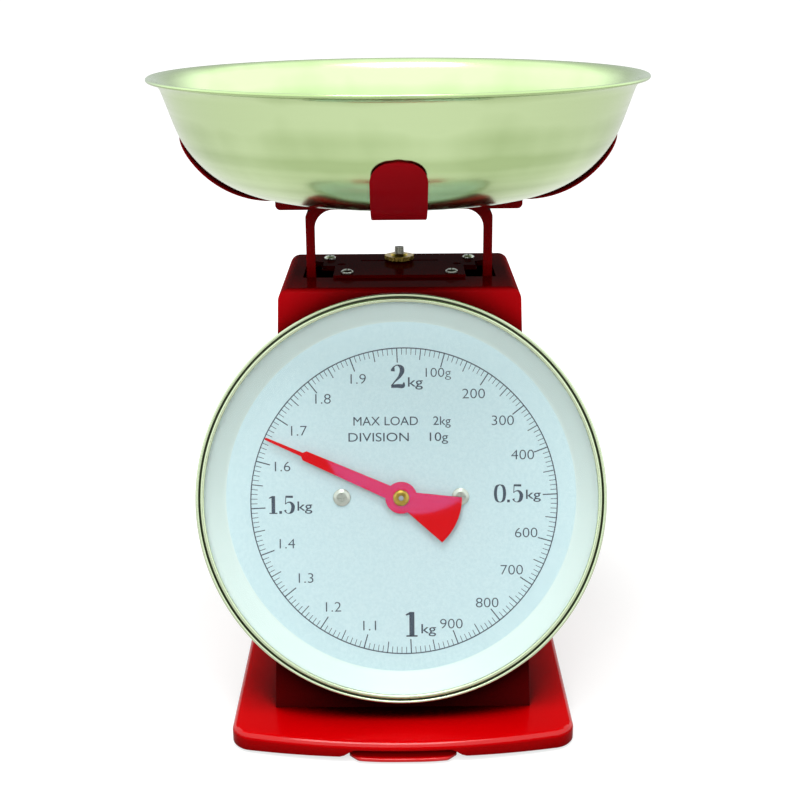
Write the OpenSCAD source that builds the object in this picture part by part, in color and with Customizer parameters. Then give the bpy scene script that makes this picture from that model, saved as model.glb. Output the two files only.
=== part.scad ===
// Mechanical kitchen scale: a wedge-shaped steel case on a pressed base, with a round
// dial on its sloping front, a sprung platform on top and a lift-off steel pan.
// Lengths are millimetres. +Z is up, the dial faces -Y, and the origin is on the table
// under the middle of the whole scale.

/* [Pan] */
// Radius of the pan at its rim
rim_r = 121.3; // [100:0.1:146]
// Height of the rim above the pan's floor
pan_depth = 56; // [50:0.1:66]
// Radius of the curve between floor and wall
pan_corner_r = 50; // [44:1:56]
// Lean of the pan's wall from upright, in degrees
pan_lean = 19; // [15:0.1:26]
// Width of the sloping rim, seen from above
rim_w = 5.9; // [4:0.1:9]
// Rise of the sloping rim
rim_rise = 3.3; // [1.5:0.1:4.5]
// Sheet thickness of the pan
pan_sheet = 0.7; // [0.5:0.1:1]

/* [Pan support] */
// Width of each of the four arms
arm_w = 25; // [18:1:30]
// Sheet thickness of the arms
arm_sheet = 1.2; // [0.8:0.1:1.6]
// Height of an arm's tip above the arms' flat middle
arm_rise = 30.6; // [20:0.1:34]
// Height that the arms' curved ends hold the pan above their flat middle
floor_gap = 2.6; // [1:0.1:5]
// Reach of the flat part of an arm
arm_flat_r = 63; // [56:1:66]

/* [Platform] */
// Gap between the case and the platform's beam
platform_gap = 33.8; // [30:0.1:45]
// Length of the beam
beam_len = 122.4; // [104:0.1:140]
// Height of the beam's flanges
beam_h = 5; // [4:0.1:8]
// Distance between the outer faces of the legs
leg_span = 93; // [84:1:94]
// Width of a leg's front face
leg_face = 4.5; // [3.5:0.1:6]
// Depth of a leg, front to back
leg_depth = 25; // [20:1:27]
// Sheet thickness of the platform
leg_sheet = 1.5; // [1:0.1:2]
// Radius where a leg meets the beam
leg_fillet = 9.5; // [6:0.1:12]
// Radius of a leg's outer corner under the beam
leg_corner = 4; // [2:0.1:6]

/* [Case] */
// Height of the case
case_h = 196.3; // [180:0.1:236]
// Width of the case at its top
case_top_w = 118; // [114:1:142]
// Width of the case at its foot
case_foot_w = 124; // [118:1:148]
// Depth of the case at its top
case_top_d = 82.8; // [80:0.1:100]
// Distance from the pan's axis back to the rear of the case
case_back = 47.4; // [46:0.1:56]
// Radius of the case's top corners, seen from the front
case_corner = 5.5; // [3:0.5:7]
// Radius of the fold between the case's top and its dial side
case_fold = 3; // [2:0.5:5]
// Slope of the dial side, in degrees from upright
face_tilt = 16; // [13:0.5:17]
// Sheet thickness of the case
case_sheet = 1; // [0.8:0.1:1.2]

/* [Dial] */
// Distance down the slope from the case's top edge to the pointer's axis
dial_drop = 101.3; // [100:0.1:120]
// Outer radius of the bezel
bezel_r = 98.3; // [80:0.1:118]
// Width of the dial pan's white flare, from the card's edge to the bezel's lip
flare_w = 9.2; // [7:0.1:14]
// Depth of the white dial pan
dial_pan_depth = 9; // [7.5:0.1:12]
// Distance from the pointer's tip to the card's edge
pointer_gap = 13.4; // [8:0.1:20]
// Angle of the resting pointer, anticlockwise from the top, in degrees
pointer_rest = 66; // [0:1:90]
// Distance from the axis to each dial screw
dial_screw_x = 28.8; // [24:0.1:34]

/* [Base] */
// Width of the base
base_w = 163.5; // [150:0.5:196]
// Distance from the pan's axis to the middle of the front edge
base_front = 125.3; // [124:0.1:140]
// Distance from the pan's axis to the rear edge
base_back = 55; // [54:1:70]
// Height of the base's top face above the table
base_top = 10; // [9:0.1:14]
// How far the front edge bows out
base_bow = 12; // [8:0.5:14]
// Corner radius of the base
base_corner = 9; // [6:0.5:14]
// Sheet thickness of the base
base_sheet = 1; // [0.8:0.1:1.2]
// Gap between the base's flange and the table
base_lift = 1.4; // [1:0.1:2.5]
// Width of the front tongue
tongue_w = 51; // [40:1:60]
// Reach of the tongue in front of the base
tongue_out = 1.3; // [0.5:0.1:9]
// Height of the opening over the tongue
tongue_open = 5; // [3:0.1:6]
// Radius of a rubber foot
foot_r = 7.4; // [5:0.1:8]

/* [Movement] */
// Gear module of the rack and pinion
gear_module = 0.5; // [0.5:0.05:0.6]
// Teeth on the pinion
pinion_teeth = 10; // [10:1:12]
// Length of a link, pivot to pin
link_len = 42; // [38:1:45]
// Outer radius of a spring's coil
coil_r = 6.6; // [5.5:0.1:8]
// Wire radius of a spring
wire_r = 0.6; // [0.5:0.05:0.8]
// Turns in a spring
coil_turns = 18; // [14:1:22]

/* [Clearances] */
// Radial clearance of a turning shaft
run_gap = 0.04; // [0.02:0.01:0.08]
// Clearance between seated pieces
seat_gap = 0.02; // [0.01:0.01:0.05]
// Clearance between the pan and the arms it rests in
rest_gap = 0.05; // [0.05:0.01:0.2]
// Clearance between pieces that move past each other
move_gap = 0.4; // [0.3:0.05:0.6]

/* [Hidden] */
$fn = 64;

// Levels, from the table up
case_top = base_top + case_h;
beam_foot = case_top + platform_gap;
beam_top = beam_foot + beam_h;
seat_z = beam_top + arm_sheet;
pan_z = seat_z + floor_gap;

// Front to back: pan_y puts the tongue and the pan's rear rim equally far from Y = 0
pan_y = (base_front + tongue_out - rim_r) / 2;
back_y = pan_y + case_back;
top_front_y = back_y - case_top_d;
foot_front_y = top_front_y - case_h * tan(face_tilt);
dial_y = top_front_y - dial_drop * sin(face_tilt);
dial_z = case_top - dial_drop * cos(face_tilt);

// Pan profile, worked inwards from the rim
pan_arc_rise = pan_corner_r * (1 - sin(pan_lean));
pan_wall_rise = pan_depth - rim_rise - pan_arc_rise;
pan_wall_r = rim_r - rim_w;
pan_floor_r = pan_wall_r - pan_wall_rise * tan(pan_lean) - pan_corner_r * cos(pan_lean);

// Travel of the platform: the pointer sweeps from its rest to a full turn past zero
pinion_r = gear_module * pinion_teeth / 2;
sweep = 360 + pointer_rest;
rack_travel = 2 * PI * pinion_r * sweep / 360;
travel = rack_travel * cos(face_tilt);

// Stack on the dial's axis, measured out from the case's face
pan_rim_z = dial_pan_depth;
dial_pan_sheet = 0.8;
card_sheet = 0.5;
card_z = dial_pan_sheet + card_sheet;
gasket_t = 0.5;
lens_t = 1.5;
lens_rise = 2.5;
gasket_z = pan_rim_z + dial_pan_sheet;
lens_z = gasket_z + gasket_t;
bezel_wall = 1.7;
bezel_lip = 1.1;
pan_rim_r = bezel_r - bezel_wall - 0.15;
lip_r = bezel_r - 4.3;
pan_wall_top_r = lip_r + 0.6;
card_r = lip_r + 0.2 - flare_w;
pan_foot_r = card_r + 0.4;
pointer_len = card_r - pointer_gap;
pointer_t = 0.8;
pointer_z = 4.4;

// Shaft and its bearings
shaft_r = 1.2;
bush_r = 3.4;
bush_flange_r = 4.6;
bush_flange_t = 1.6;
bracket_depth = 20;
bracket_sheet = 1.5;
bracket_h = 16;
pinion_w = 5;
pinion_back = -14;

// Rack, whose pitch line lies beside the pinion
rack_add = 0.5 * gear_module;
rack_ded = 1.1 * gear_module;
pinion_add = 0.8 * gear_module;
pinion_ded = 0.9 * gear_module;
backlash = 0.09;
rack_w = 4;
rack_back = -13.5;
rack_mid = rack_back + rack_w / 2;
rack_body = 3;
rack_x = pinion_r + rack_ded;
rack_pin_y = 46;
rack_pin_r = 1;
rack_pin_world = [
    dial_y + rack_pin_y * sin(face_tilt) - rack_mid * cos(face_tilt),
    dial_z + rack_pin_y * cos(face_tilt) + rack_mid * sin(face_tilt)
];

// Legs of the platform
leg_out = leg_span / 2;
leg_in = leg_out - leg_sheet;
leg_front = pan_y - 9;
leg_back = leg_front + leg_depth;
yoke_z = case_top - 155;
leg_foot = yoke_z - 4;

// Parallel links
link_swing = 2 * asin(travel / 2 / link_len);
link_pin_r = 1.5;
link_pin_y = pan_y;
pivot_y = link_pin_y + link_len * cos(link_swing / 2);
pivot_r = 2;
link_sheet = 1.5;
link_in = leg_out + 2.5;
link_h = 8;
upper_pin_z = case_top - 21;
lower_pin_z = case_top - 131;

// Zero adjuster and springs
adjust_y = pan_y + 22.5;
plate_t = 1.5;
plate_top = case_top + plate_t;
nut_collar_h = 0.8;
nut_h = 2.2;
nut_boss_h = 1;
nut_r = 7.7;
screw_r = 2.4;
screw_top = case_top + 8.8;
slit_w = 2.4;
hanger_len = 39;
hanger_top = case_top - 1.6;
hanger_foot = case_top - 15;
hanger_sheet = 1.5;
spring_x = 12;
spring_y = adjust_y - 3;
hook_hole_r = 1.2;

// Screws
small_screw_r = 1.5;
small_head_r = 3.1;
small_head_h = 1.9;
plate_back = pan_y + 39;
rear_plate_screw = [36.5, pan_y + 27];
front_plate_screw = [26.3, pan_y - 8];
slot_in = leg_out - 13.1;
slot_out = leg_out + 1.9;
slot_step = leg_out - 6.5;
slot_front = leg_front - 1.8;
slot_mid = leg_front + 18.3;
slot_back = leg_back + 2.6;

// Foot flange of the case
foot_lip = 14;
tab_len = 4.6;
tab_drop = 4;
tab_gap = 0.7;
foot_screw_x = case_foot_w / 2 - 8;
foot_screw_y = [foot_front_y + 22, back_y - 14];
tab_y = [foot_front_y + 9.2, back_y - 26];

// Half width of the case at height z, outside
function case_half(z) = (case_top_w + (case_foot_w - case_top_w) * (case_top - z) / case_h) / 2;

// ---- Paths and sheets ----

function unit(v) = v / norm(v);
function left_of(v) = [-v[1], v[0]];
function mitre(a, b, c, d) =
    let(m = unit(left_of(unit(b - a)) + left_of(unit(c - b))))
    b + m * d / (m * left_of(unit(b - a)));
// A path moved sideways by d, to its left where d is positive
function beside(path, d) =
    let(last = len(path) - 1)
    [for (i = [0:last])
        i == 0 ? path[0] + left_of(unit(path[1] - path[0])) * d
        : i == last ? path[last] + left_of(unit(path[last] - path[last - 1])) * d
        : mitre(path[i - 1], path[i], path[i + 1], d)];
function backwards(path) = [for (i = [len(path) - 1:-1:0]) path[i]];
function arc(centre, r, from, to, steps) =
    [for (i = [0:steps]) centre + r * [cos(from + (to - from) * i / steps),
                                       sin(from + (to - from) * i / steps)]];

// The section of a bent sheet that follows a path
module sheet(path, t) polygon(concat(path, backwards(beside(path, t))));

// ---- Frames ----

// Places its children on the pointer's axis: +Z out of the dial, +Y up the slope
module on_dial() translate([0, dial_y, dial_z]) rotate([90 - face_tilt, 0, 0]) children();
module both_sides() {
    children();
    mirror([1, 0, 0]) children();
}

// ---- Screws ----

// A pan-head screw with a cross recess, its head standing on Z = 0
module pan_screw(head_r, head_h, shank_r, shank_len) {
    difference() {
        union() {
            cylinder(h = head_h * 0.55, r = head_r);
            translate([0, 0, head_h * 0.55]) cylinder(h = head_h * 0.45, r1 = head_r, r2 = head_r * 0.6);
            translate([0, 0, -shank_len]) cylinder(h = shank_len, r = shank_r);
        }
        for (turn = [0, 90]) rotate(turn)
            translate([-head_r * 0.55, -head_r * 0.11, head_h * 0.5])
                cube([head_r * 1.1, head_r * 0.22, head_h]);
    }
}

// ---- Base ----

// Outline of the base moved in by d: a rounded rectangle whose front edge bows out
function bowed(p) = p[1] > 0 ? p
    : [p[0], p[1] - base_bow * (1 - pow(p[0] / (base_w / 2), 2))];
function base_outline(d) =
    let(half = base_w / 2 - d, r = base_corner - d,
        rear = pan_y + base_back - d, front = pan_y - base_front + base_bow + d)
    concat(
        arc([half - r, rear - r], r, 0, 90, 6),
        arc([-half + r, rear - r], r, 90, 180, 6),
        [for (p = arc([-half + r, front + r], r, 180, 270, 6)) bowed(p)],
        [for (i = [1:11]) bowed([(half - r) * (i / 6 - 1), front])],
        [for (p = arc([half - r, front + r], r, 270, 360, 6)) bowed(p)]);

module base_pan() color("#cf0a14") difference() {
    union() {
        difference() {
            translate([0, 0, base_lift]) linear_extrude(base_top - base_lift) polygon(base_outline(0));
            translate([0, 0, -1]) linear_extrude(base_top - base_sheet + 1)
                polygon(base_outline(base_sheet));
            // The flange is cut back over the tongue
            translate([-tongue_w / 2 + 1, pan_y - base_front - 1, 0])
                cube([tongue_w - 2, 4, base_lift + tongue_open]);
        }
        tongue();
    }
    // Slots for the case's tabs
    both_sides() for (y = tab_y)
        translate([case_foot_w / 2 - case_sheet - tab_gap, y - tab_len / 2 - tab_gap, base_top - 2])
            cube([case_sheet + 2 * tab_gap, tab_len + 2 * tab_gap, 4]);
    both_sides() for (y = foot_screw_y)
        translate([foot_screw_x, y, base_top - 2]) cylinder(h = 4, r = small_screw_r + 0.2);
}

module tongue() {
    tip_y = pan_y - base_front - tongue_out;
    translate([0, 0, base_lift]) linear_extrude(base_sheet)
        polygon([
            [-tongue_w / 2, pan_y - base_front + 9], [-tongue_w / 2, tip_y + 4.5],
            [-tongue_w / 2 + 5, tip_y], [tongue_w / 2 - 5, tip_y],
            [tongue_w / 2, tip_y + 4.5], [tongue_w / 2, pan_y - base_front + 9]
        ]);
    // Ties that hold the tongue up to the base
    both_sides() translate([tongue_w / 2 - 2.5, pan_y - base_front + 5, base_lift])
        cube([2.5, base_sheet, base_top - base_lift - base_sheet / 2]);
}

module rubber_feet() color("#26262a")
    both_sides() for (y = [pan_y + base_back - 16, pan_y - base_front + base_bow + 16])
        translate([base_w / 2 - base_sheet - foot_r - 0.8, y, 0]) {
            cylinder(h = 2, r1 = foot_r - 1, r2 = foot_r);
            translate([0, 0, 2]) cylinder(h = base_top - base_sheet - 2, r = foot_r);
        }

// ---- Case ----

// The wedge that the case fills, smaller by t on each walled side and longer by `open`
// at the open foot and back
module case_wedge(t, open) {
    slope_t = t / cos(face_tilt);
    intersection() {
        translate([-case_foot_w, 0, 0]) rotate([90, 0, 90]) linear_extrude(2 * case_foot_w)
            polygon([
                [foot_front_y + slope_t - open * tan(face_tilt), base_top - open],
                [back_y + open, base_top - open],
                [back_y + open, case_top - t],
                each arc([top_front_y + case_fold * (1 - sin(face_tilt)) / cos(face_tilt),
                        case_top - case_fold],
                    case_fold - t, 90, 180 - face_tilt, 6)
            ]);
        translate([0, back_y + 60, 0]) rotate([90, 0, 0]) linear_extrude(case_h + 200)
            polygon(case_outline(t, open));
    }
}
// The case seen from the back, smaller by t, with round top corners
function case_outline(t, open) =
    let(foot = case_half(base_top - open) - t, half = case_half(case_top) - t, r = case_corner - t)
    concat(
        [[-foot, base_top - open], [foot, base_top - open]],
        arc([half - r, case_top - t - r], r, 0, 90, 8),
        arc([-half + r, case_top - t - r], r, 90, 180, 8));

module case_shell() color("#c20d18") difference() {
    union() {
        difference() {
            case_wedge(0, 0);
            case_wedge(case_sheet, 20);
        }
        // Flange around the open back
        difference() {
            intersection() {
                case_wedge(0, 0);
                translate([-100, back_y - case_sheet, 0]) cube([200, case_sheet, 400]);
            }
            translate([0, back_y + 5, 0]) rotate([90, 0, 0]) linear_extrude(10)
                polygon([
                    [-case_foot_w / 2 + 9, base_top - 1], [case_foot_w / 2 - 9, base_top - 1],
                    [case_top_w / 2 - 9, case_top - 9], [-case_top_w / 2 + 9, case_top - 9]
                ]);
        }
        // Foot flange that stands on the base
        difference() {
            intersection() {
                case_wedge(0, 0);
                translate([-100, -200, base_top]) cube([200, 400, case_sheet]);
            }
            translate([-case_foot_w / 2 + foot_lip, foot_front_y + foot_lip, base_top - 1])
                cube([case_foot_w - 2 * foot_lip, 300, case_sheet + 2]);
        }
        both_sides() for (y = tab_y)
            translate([case_foot_w / 2 - case_sheet, y - tab_len / 2, base_top - tab_drop])
                cube([case_sheet, tab_len, tab_drop + 0.5]);
    }
    both_sides() leg_slot(case_top - 5, 10);
    adjuster_opening(case_top - 5, 10);
    plate_screw_holes(case_top - 5, 10);
    on_dial() {
        translate([0, 0, -5]) cylinder(h = 10, r = bush_r + seat_gap);
        both_sides() translate([dial_screw_x, 0, -5]) cylinder(h = 10, r = small_screw_r + 0.2);
    }
    both_sides() for (y = foot_screw_y)
        translate([foot_screw_x, y, base_top - 1]) cylinder(h = 4, r = small_screw_r + seat_gap);
    cover_screw_places() translate([0, 0, -4]) cylinder(h = 8, r = small_screw_r + seat_gap);
    for (z = [upper_pin_z, lower_pin_z]) pivot_hole(z - travel / 2);
}

module pivot_hole(z) translate([-100, pivot_y, z]) rotate([0, 90, 0])
    cylinder(h = 200, r = pivot_r + seat_gap);

// The stepped slot that a leg passes through
module leg_slot(z, h) translate([0, 0, z]) linear_extrude(h)
    polygon([
        [slot_in, slot_front], [slot_out, slot_front], [slot_out, slot_back],
        [slot_step, slot_back], [slot_step, slot_mid], [slot_in, slot_mid]
    ]);

// The hole for the zero screw, and the slit that keeps its hanger from turning
module adjuster_opening(z, h) translate([0, adjust_y, z]) {
    cylinder(h = h, r = screw_r + move_gap);
    translate([-hanger_len / 2 - 0.8, -slit_w / 2, 0]) cube([hanger_len + 1.6, slit_w, h]);
}

module plate_screw_holes(z, h) both_sides() for (p = [rear_plate_screw, front_plate_screw])
    translate([p[0], p[1], z]) cylinder(h = h, r = small_screw_r + seat_gap);

module case_screws() color("#b9bcc0")
    both_sides() for (y = foot_screw_y)
        translate([foot_screw_x, y, base_top - base_sheet]) mirror([0, 0, 1])
            pan_screw(small_head_r, small_head_h, small_screw_r, 5);

module cover_screw_places() both_sides()
    for (z = [base_top + 14, case_top - 6]) translate([case_half(z) - 6, back_y, z])
        rotate([-90, 0, 0]) children();

module rear_cover() color("#b80c17") difference() {
    translate([0, back_y + case_sheet, 0]) rotate([90, 0, 0]) linear_extrude(case_sheet) intersection() {
        polygon(case_outline(0.4, 0));
        translate([-case_foot_w / 2, base_top + 0.4]) square([case_foot_w, case_h]);
    }
    cover_screw_places() translate([0, 0, -4]) cylinder(h = 8, r = small_screw_r + 0.2);
}

module cover_screws() color("#c3c6c9")
    cover_screw_places() translate([0, 0, case_sheet])
        pan_screw(small_head_r, small_head_h, small_screw_r, 5);

// The stiffening plate on top of the case, which carries the zero adjuster
module hanger_plate() color("#a80d18") difference() {
    translate([0, 0, case_top]) linear_extrude(plate_t)
        polygon(concat(plate_side(1), backwards(plate_side(-1))));
    adjuster_opening(case_top - 1, plate_t + 2);
    both_sides() for (p = [rear_plate_screw, front_plate_screw])
        translate([p[0], p[1], case_top - 1]) cylinder(h = plate_t + 2, r = small_screw_r + 0.2);
    both_sides() translate([slot_in - 3.5, slot_mid + 4.5, case_top - 1]) cylinder(h = plate_t + 2, r = 2.2);
}
function plate_side(s) = [
    [s * (slot_in - 0.4), slot_front - 2], [s * (slot_in - 0.4), slot_mid + 0.6],
    [s * (slot_step - 0.6), slot_mid + 0.6], [s * (slot_step - 0.6), slot_back + 0.8],
    [s * (leg_out - 1), slot_back + 4], [s * (leg_out - 1), plate_back - 4],
    [s * (leg_out - 5), plate_back]
];

module hanger_screws() color("#d2d2c8")
    both_sides() for (p = [rear_plate_screw, front_plate_screw]) translate([p[0], p[1], plate_top])
        pan_screw(small_head_r, small_head_h, small_screw_r, 5);

// ---- Dial ----

module dial_pan() color("#eef1ec") on_dial() difference() {
    rotate_extrude($fn = 128)
        sheet([[0, 0], [pan_foot_r, 0], [pan_wall_top_r, pan_rim_z], [pan_rim_r, pan_rim_z]],
            dial_pan_sheet);
    dial_holes(bush_flange_r + 0.15);
}

module dial_card() color("#d3e6ea") on_dial() difference() {
    translate([0, 0, dial_pan_sheet]) cylinder(h = card_sheet, r = card_r, $fn = 128);
    dial_holes(bush_flange_r + 0.15);
}

module dial_holes(middle_r) translate([0, 0, -1]) {
    cylinder(h = 6, r = middle_r);
    both_sides() translate([dial_screw_x, 0, 0]) cylinder(h = 6, r = small_screw_r + 0.2);
}

module dial_screws() color("#cfd3d2") on_dial() both_sides()
    translate([dial_screw_x, 0, card_z])
        pan_screw(4.2, 1.8, small_screw_r, card_z + case_sheet + bracket_sheet + 1);

module lens_gasket() color("#f4f5f0") on_dial() translate([0, 0, gasket_z]) difference() {
    cylinder(h = gasket_t, r = pan_rim_r - 0.1, $fn = 128);
    translate([0, 0, -1]) cylinder(h = gasket_t + 2, r = pan_wall_top_r, $fn = 128);
}

// A shallow dome with a flat rim
function lens_height(r) = lens_rise * (1 - pow(r / (lip_r - 1), 2));
module dial_lens() color("#e8f4f4", 0.25) on_dial() translate([0, 0, lens_z]) rotate_extrude($fn = 128)
    sheet(concat([for (i = [0:8]) let(r = (lip_r - 1) * i / 8) [r, lens_height(r)]],
        [[pan_rim_r - 0.1, 0]]), lens_t);

module bezel_ring() color("#c9c8a6") on_dial() rotate_extrude($fn = 128) {
    foot = pan_rim_z - 1;
    lip = lens_z + lens_t + 0.15;
    polygon([
        [pan_rim_r - 1.4, foot], [bezel_r - 0.5, foot], [bezel_r, foot + 0.5],
        [bezel_r, lip + bezel_lip - 0.7], [bezel_r - 0.7, lip + bezel_lip],
        [lip_r + 0.8, lip + bezel_lip], [lip_r, lip + bezel_lip - 0.6], [lip_r, lip],
        [pan_rim_r + 0.05, lip], [pan_rim_r + 0.05, foot + 0.95], [pan_rim_r - 1.4, foot + 0.95]
    ]);
}

// ---- Movement ----

// The bridge behind the dial, held by the two dial screws, which carries the rear bush
module movement_bracket() color("#a9adaf") on_dial() difference() {
    union() {
        both_sides() {
            translate([dial_screw_x - 6, -bracket_h / 2, -case_sheet - bracket_sheet])
                cube([12, bracket_h, bracket_sheet]);
            translate([dial_screw_x - 6, -bracket_h / 2, -bracket_depth - bracket_sheet])
                cube([bracket_sheet, bracket_h, bracket_depth + bracket_sheet - case_sheet]);
        }
        translate([-dial_screw_x + 6, -bracket_h / 2, -bracket_depth - bracket_sheet])
            cube([2 * dial_screw_x - 12, bracket_h, bracket_sheet]);
    }
    translate([0, 0, -bracket_depth - 5]) cylinder(h = 8, r = bush_r + seat_gap);
    both_sides() translate([dial_screw_x, 0, -bracket_depth])
        cylinder(h = bracket_depth, r = small_screw_r + seat_gap);
}

module rack_guide() color("#e6e2d2") on_dial()
    translate([rack_x + rack_body + 0.15, -5, -bracket_depth]) cube([4, 10, bracket_depth - 9]);

module front_bush() color("#b89a48") on_dial() difference() {
    union() {
        translate([0, 0, -case_sheet - 2]) cylinder(h = case_sheet + 2, r = bush_r);
        cylinder(h = bush_flange_t, r = bush_flange_r);
    }
    translate([0, 0, -10]) cylinder(h = 20, r = shaft_r + run_gap);
}

module rear_bush() color("#b89a48") on_dial() translate([0, 0, -bracket_depth]) difference() {
    union() {
        translate([0, 0, -bracket_sheet]) cylinder(h = bracket_sheet, r = bush_r);
        cylinder(h = bush_flange_t, r = bush_flange_r);
    }
    translate([0, 0, -5]) cylinder(h = 10, r = shaft_r + run_gap);
}

module pointer_shaft() color("#b4b7ba") on_dial()
    translate([0, 0, -bracket_depth - 4]) cylinder(h = bracket_depth + 4 + pointer_z + 3.4, r = shaft_r);

module shaft_collar() color("#8d9093") on_dial() difference() {
    translate([0, 0, -bracket_depth - bracket_sheet - 2]) cylinder(h = 1.8, r = 2.6);
    translate([0, 0, -bracket_depth - 6]) cylinder(h = 8, r = shaft_r + seat_gap);
}

// Involute of a base circle, and the half angle that a tooth fills at radius r
base_circle = pinion_r * cos(20);
function involute_angle(r) = r <= base_circle ? 0
    : let(a = acos(base_circle / r)) (tan(a) * 180 / PI - a);
function tooth_half(r) = (PI * gear_module / 2 - backlash) / (2 * pinion_r) * 180 / PI
    + involute_angle(pinion_r) - involute_angle(r);
tooth_radii = [for (i = [0:4]) let(r = base_circle + (pinion_r + pinion_add - base_circle) * i / 4) r];
pinion_root_r = pinion_r - pinion_ded;

// One tooth's points, anticlockwise, on the pinion's rim
function tooth(turn) = concat(
    [pinion_root_r * [cos(turn - tooth_half(0) - 1), sin(turn - tooth_half(0) - 1)]],
    [for (r = tooth_radii) r * [cos(turn - tooth_half(r)), sin(turn - tooth_half(r))]],
    [for (r = backwards(tooth_radii)) r * [cos(turn + tooth_half(r)), sin(turn + tooth_half(r))]],
    [pinion_root_r * [cos(turn + tooth_half(0) + 1), sin(turn + tooth_half(0) + 1)]]);

module pinion() color("#c4a24c") on_dial() translate([0, 0, pinion_back]) difference() {
    union() {
        linear_extrude(pinion_w)
            polygon([for (i = [0:pinion_teeth - 1]) each tooth(360 * i / pinion_teeth)]);
        translate([0, 0, -2.5]) cylinder(h = 2.5, r = pinion_root_r);
    }
    translate([0, 0, -5]) cylinder(h = pinion_w + 10, r = shaft_r + seat_gap);
}

pitch = PI * gear_module;
// The rack's tooth line: a gap is centred on the pinion's tooth at Y = 0
function rack_tooth(y) = [
    [rack_x, y + pitch / 2 - rack_half(rack_ded)],
    [pinion_r - rack_add, y + pitch / 2 - rack_half(-rack_add)],
    [pinion_r - rack_add, y + pitch / 2 + rack_half(-rack_add)],
    [rack_x, y + pitch / 2 + rack_half(rack_ded)]
];
function rack_half(depth) = pitch / 4 - backlash / 2 + depth * tan(20);
rack_teeth = ceil((rack_travel + 6) / pitch);
rack_tail = -3 * pitch;

module rack() color("#c4a24c") on_dial() translate([0, 0, rack_back]) difference() {
    union() {
        linear_extrude(rack_w) polygon(concat(
            [[rack_x + rack_body, rack_tail - 1], [rack_x, rack_tail - 1]],
            [for (i = [0:rack_teeth]) each rack_tooth(rack_tail + i * pitch)],
            [[rack_x, rack_pin_y + 3], [rack_x + rack_body, rack_pin_y + 3]]));
    }
    translate([rack_x - 1, rack_pin_y, rack_w / 2]) rotate([0, 90, 0])
        cylinder(h = rack_body + 2, r = rack_pin_r + seat_gap);
}

ear_gap = 0.9;
ear_t = 1.2;
ear_in = rack_x - ear_gap - ear_t;
ear_out = rack_x + rack_body + ear_gap + ear_t;

module rack_pin() color("#b4b7ba") translate([ear_in - 0.5, rack_pin_world[0], rack_pin_world[1]])
    rotate([0, 90, 0]) cylinder(h = ear_out - ear_in + 1, r = rack_pin_r);

// ---- Platform ----

// The pressed frame: a flanged beam on two angle-section legs
module carriage_frame() color("#8f1024") difference() {
    union() {
        translate([-beam_len / 2, leg_front, beam_top - leg_sheet]) cube([beam_len, leg_depth, leg_sheet]);
        translate([0, leg_front + leg_sheet, 0]) rotate([90, 0, 0]) linear_extrude(leg_sheet) frame_web();
        translate([0, leg_back, 0]) rotate([90, 0, 0]) linear_extrude(leg_sheet) beam_web();
        both_sides() translate([leg_in, leg_front, leg_foot])
            cube([leg_sheet, leg_depth, beam_top - leg_foot - leg_sheet / 2]);
    }
    both_sides() leg_corner_cut();
    support_rivet_places() translate([0, 0, -5]) cylinder(h = 10, r = 2 + seat_gap);
    for (z = [upper_pin_z, lower_pin_z]) both_sides() link_pin_hole(z);
    rivet_places() translate([0, 0, -4]) cylinder(h = 8, r = small_screw_r + seat_gap);
}

// Rounds the outer top corner of a leg, just under the beam
module leg_corner_cut() translate([leg_out - leg_corner, leg_front - 1, beam_foot - leg_corner])
    difference() {
        cube([leg_corner + 1, leg_depth + 2, leg_corner]);
        translate([0, -1, 0]) rotate([-90, 0, 0]) cylinder(h = leg_depth + 4, r = leg_corner);
    }

module link_pin_hole(z) translate([leg_in - 1, link_pin_y, z]) rotate([0, 90, 0])
    cylinder(h = leg_sheet + 2, r = link_pin_r + seat_gap);

// The beam's flange, with rounded lower corners
module beam_web() {
    corner = beam_h / 2;
    translate([-beam_len / 2, beam_foot + corner]) square([beam_len, beam_h - corner]);
    translate([-beam_len / 2 + corner, beam_foot]) square([beam_len - 2 * corner, corner]);
    both_sides() translate([beam_len / 2 - corner, beam_foot + corner]) circle(corner);
}

// The beam's front flange with both legs, filleted where they meet
module frame_web() {
    beam_web();
    both_sides() {
        translate([leg_out - leg_face, leg_foot]) square([leg_face, beam_foot - leg_foot + 1]);
        difference() {
            translate([leg_out - leg_face - leg_fillet, beam_foot - leg_fillet])
                square([leg_fillet + 0.5, leg_fillet + 0.5]);
            translate([leg_out - leg_face - leg_fillet, beam_foot - leg_fillet]) circle(leg_fillet);
        }
    }
}

// The cross plate low in the case, which the springs hold up
module spring_yoke() color("#a9adaf") difference() {
    union() {
        translate([-leg_in + seat_gap, leg_front + leg_sheet + seat_gap, yoke_z])
            cube([2 * leg_in - 2 * seat_gap, adjust_y + 6 - leg_front - leg_sheet, leg_sheet]);
        both_sides() translate([leg_in - seat_gap - leg_sheet, leg_front + leg_sheet + seat_gap, yoke_z])
            cube([leg_sheet, leg_depth - leg_sheet - 1, 12]);
    }
    both_sides() translate([spring_x, spring_y, yoke_z - 1]) cylinder(h = 4, r = hook_hole_r);
    rivet_places() translate([0, 0, -4]) cylinder(h = 8, r = small_screw_r + seat_gap);
}

// Rivets through the legs: two a side hold the yoke, one a side holds the rack's bracket
yoke_rivet_z = yoke_z + 8;
bracket_z = rack_pin_world[1] + 4;
bracket_rivet_z = bracket_z + leg_sheet + 5;
module rivet_places() both_sides() {
    for (y = [leg_front + 8, leg_front + 18]) translate([leg_in, y, yoke_rivet_z])
        rotate([0, 90, 0]) children();
    translate([leg_in, leg_front + 8, bracket_rivet_z]) rotate([0, 90, 0]) children();
}

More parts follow.
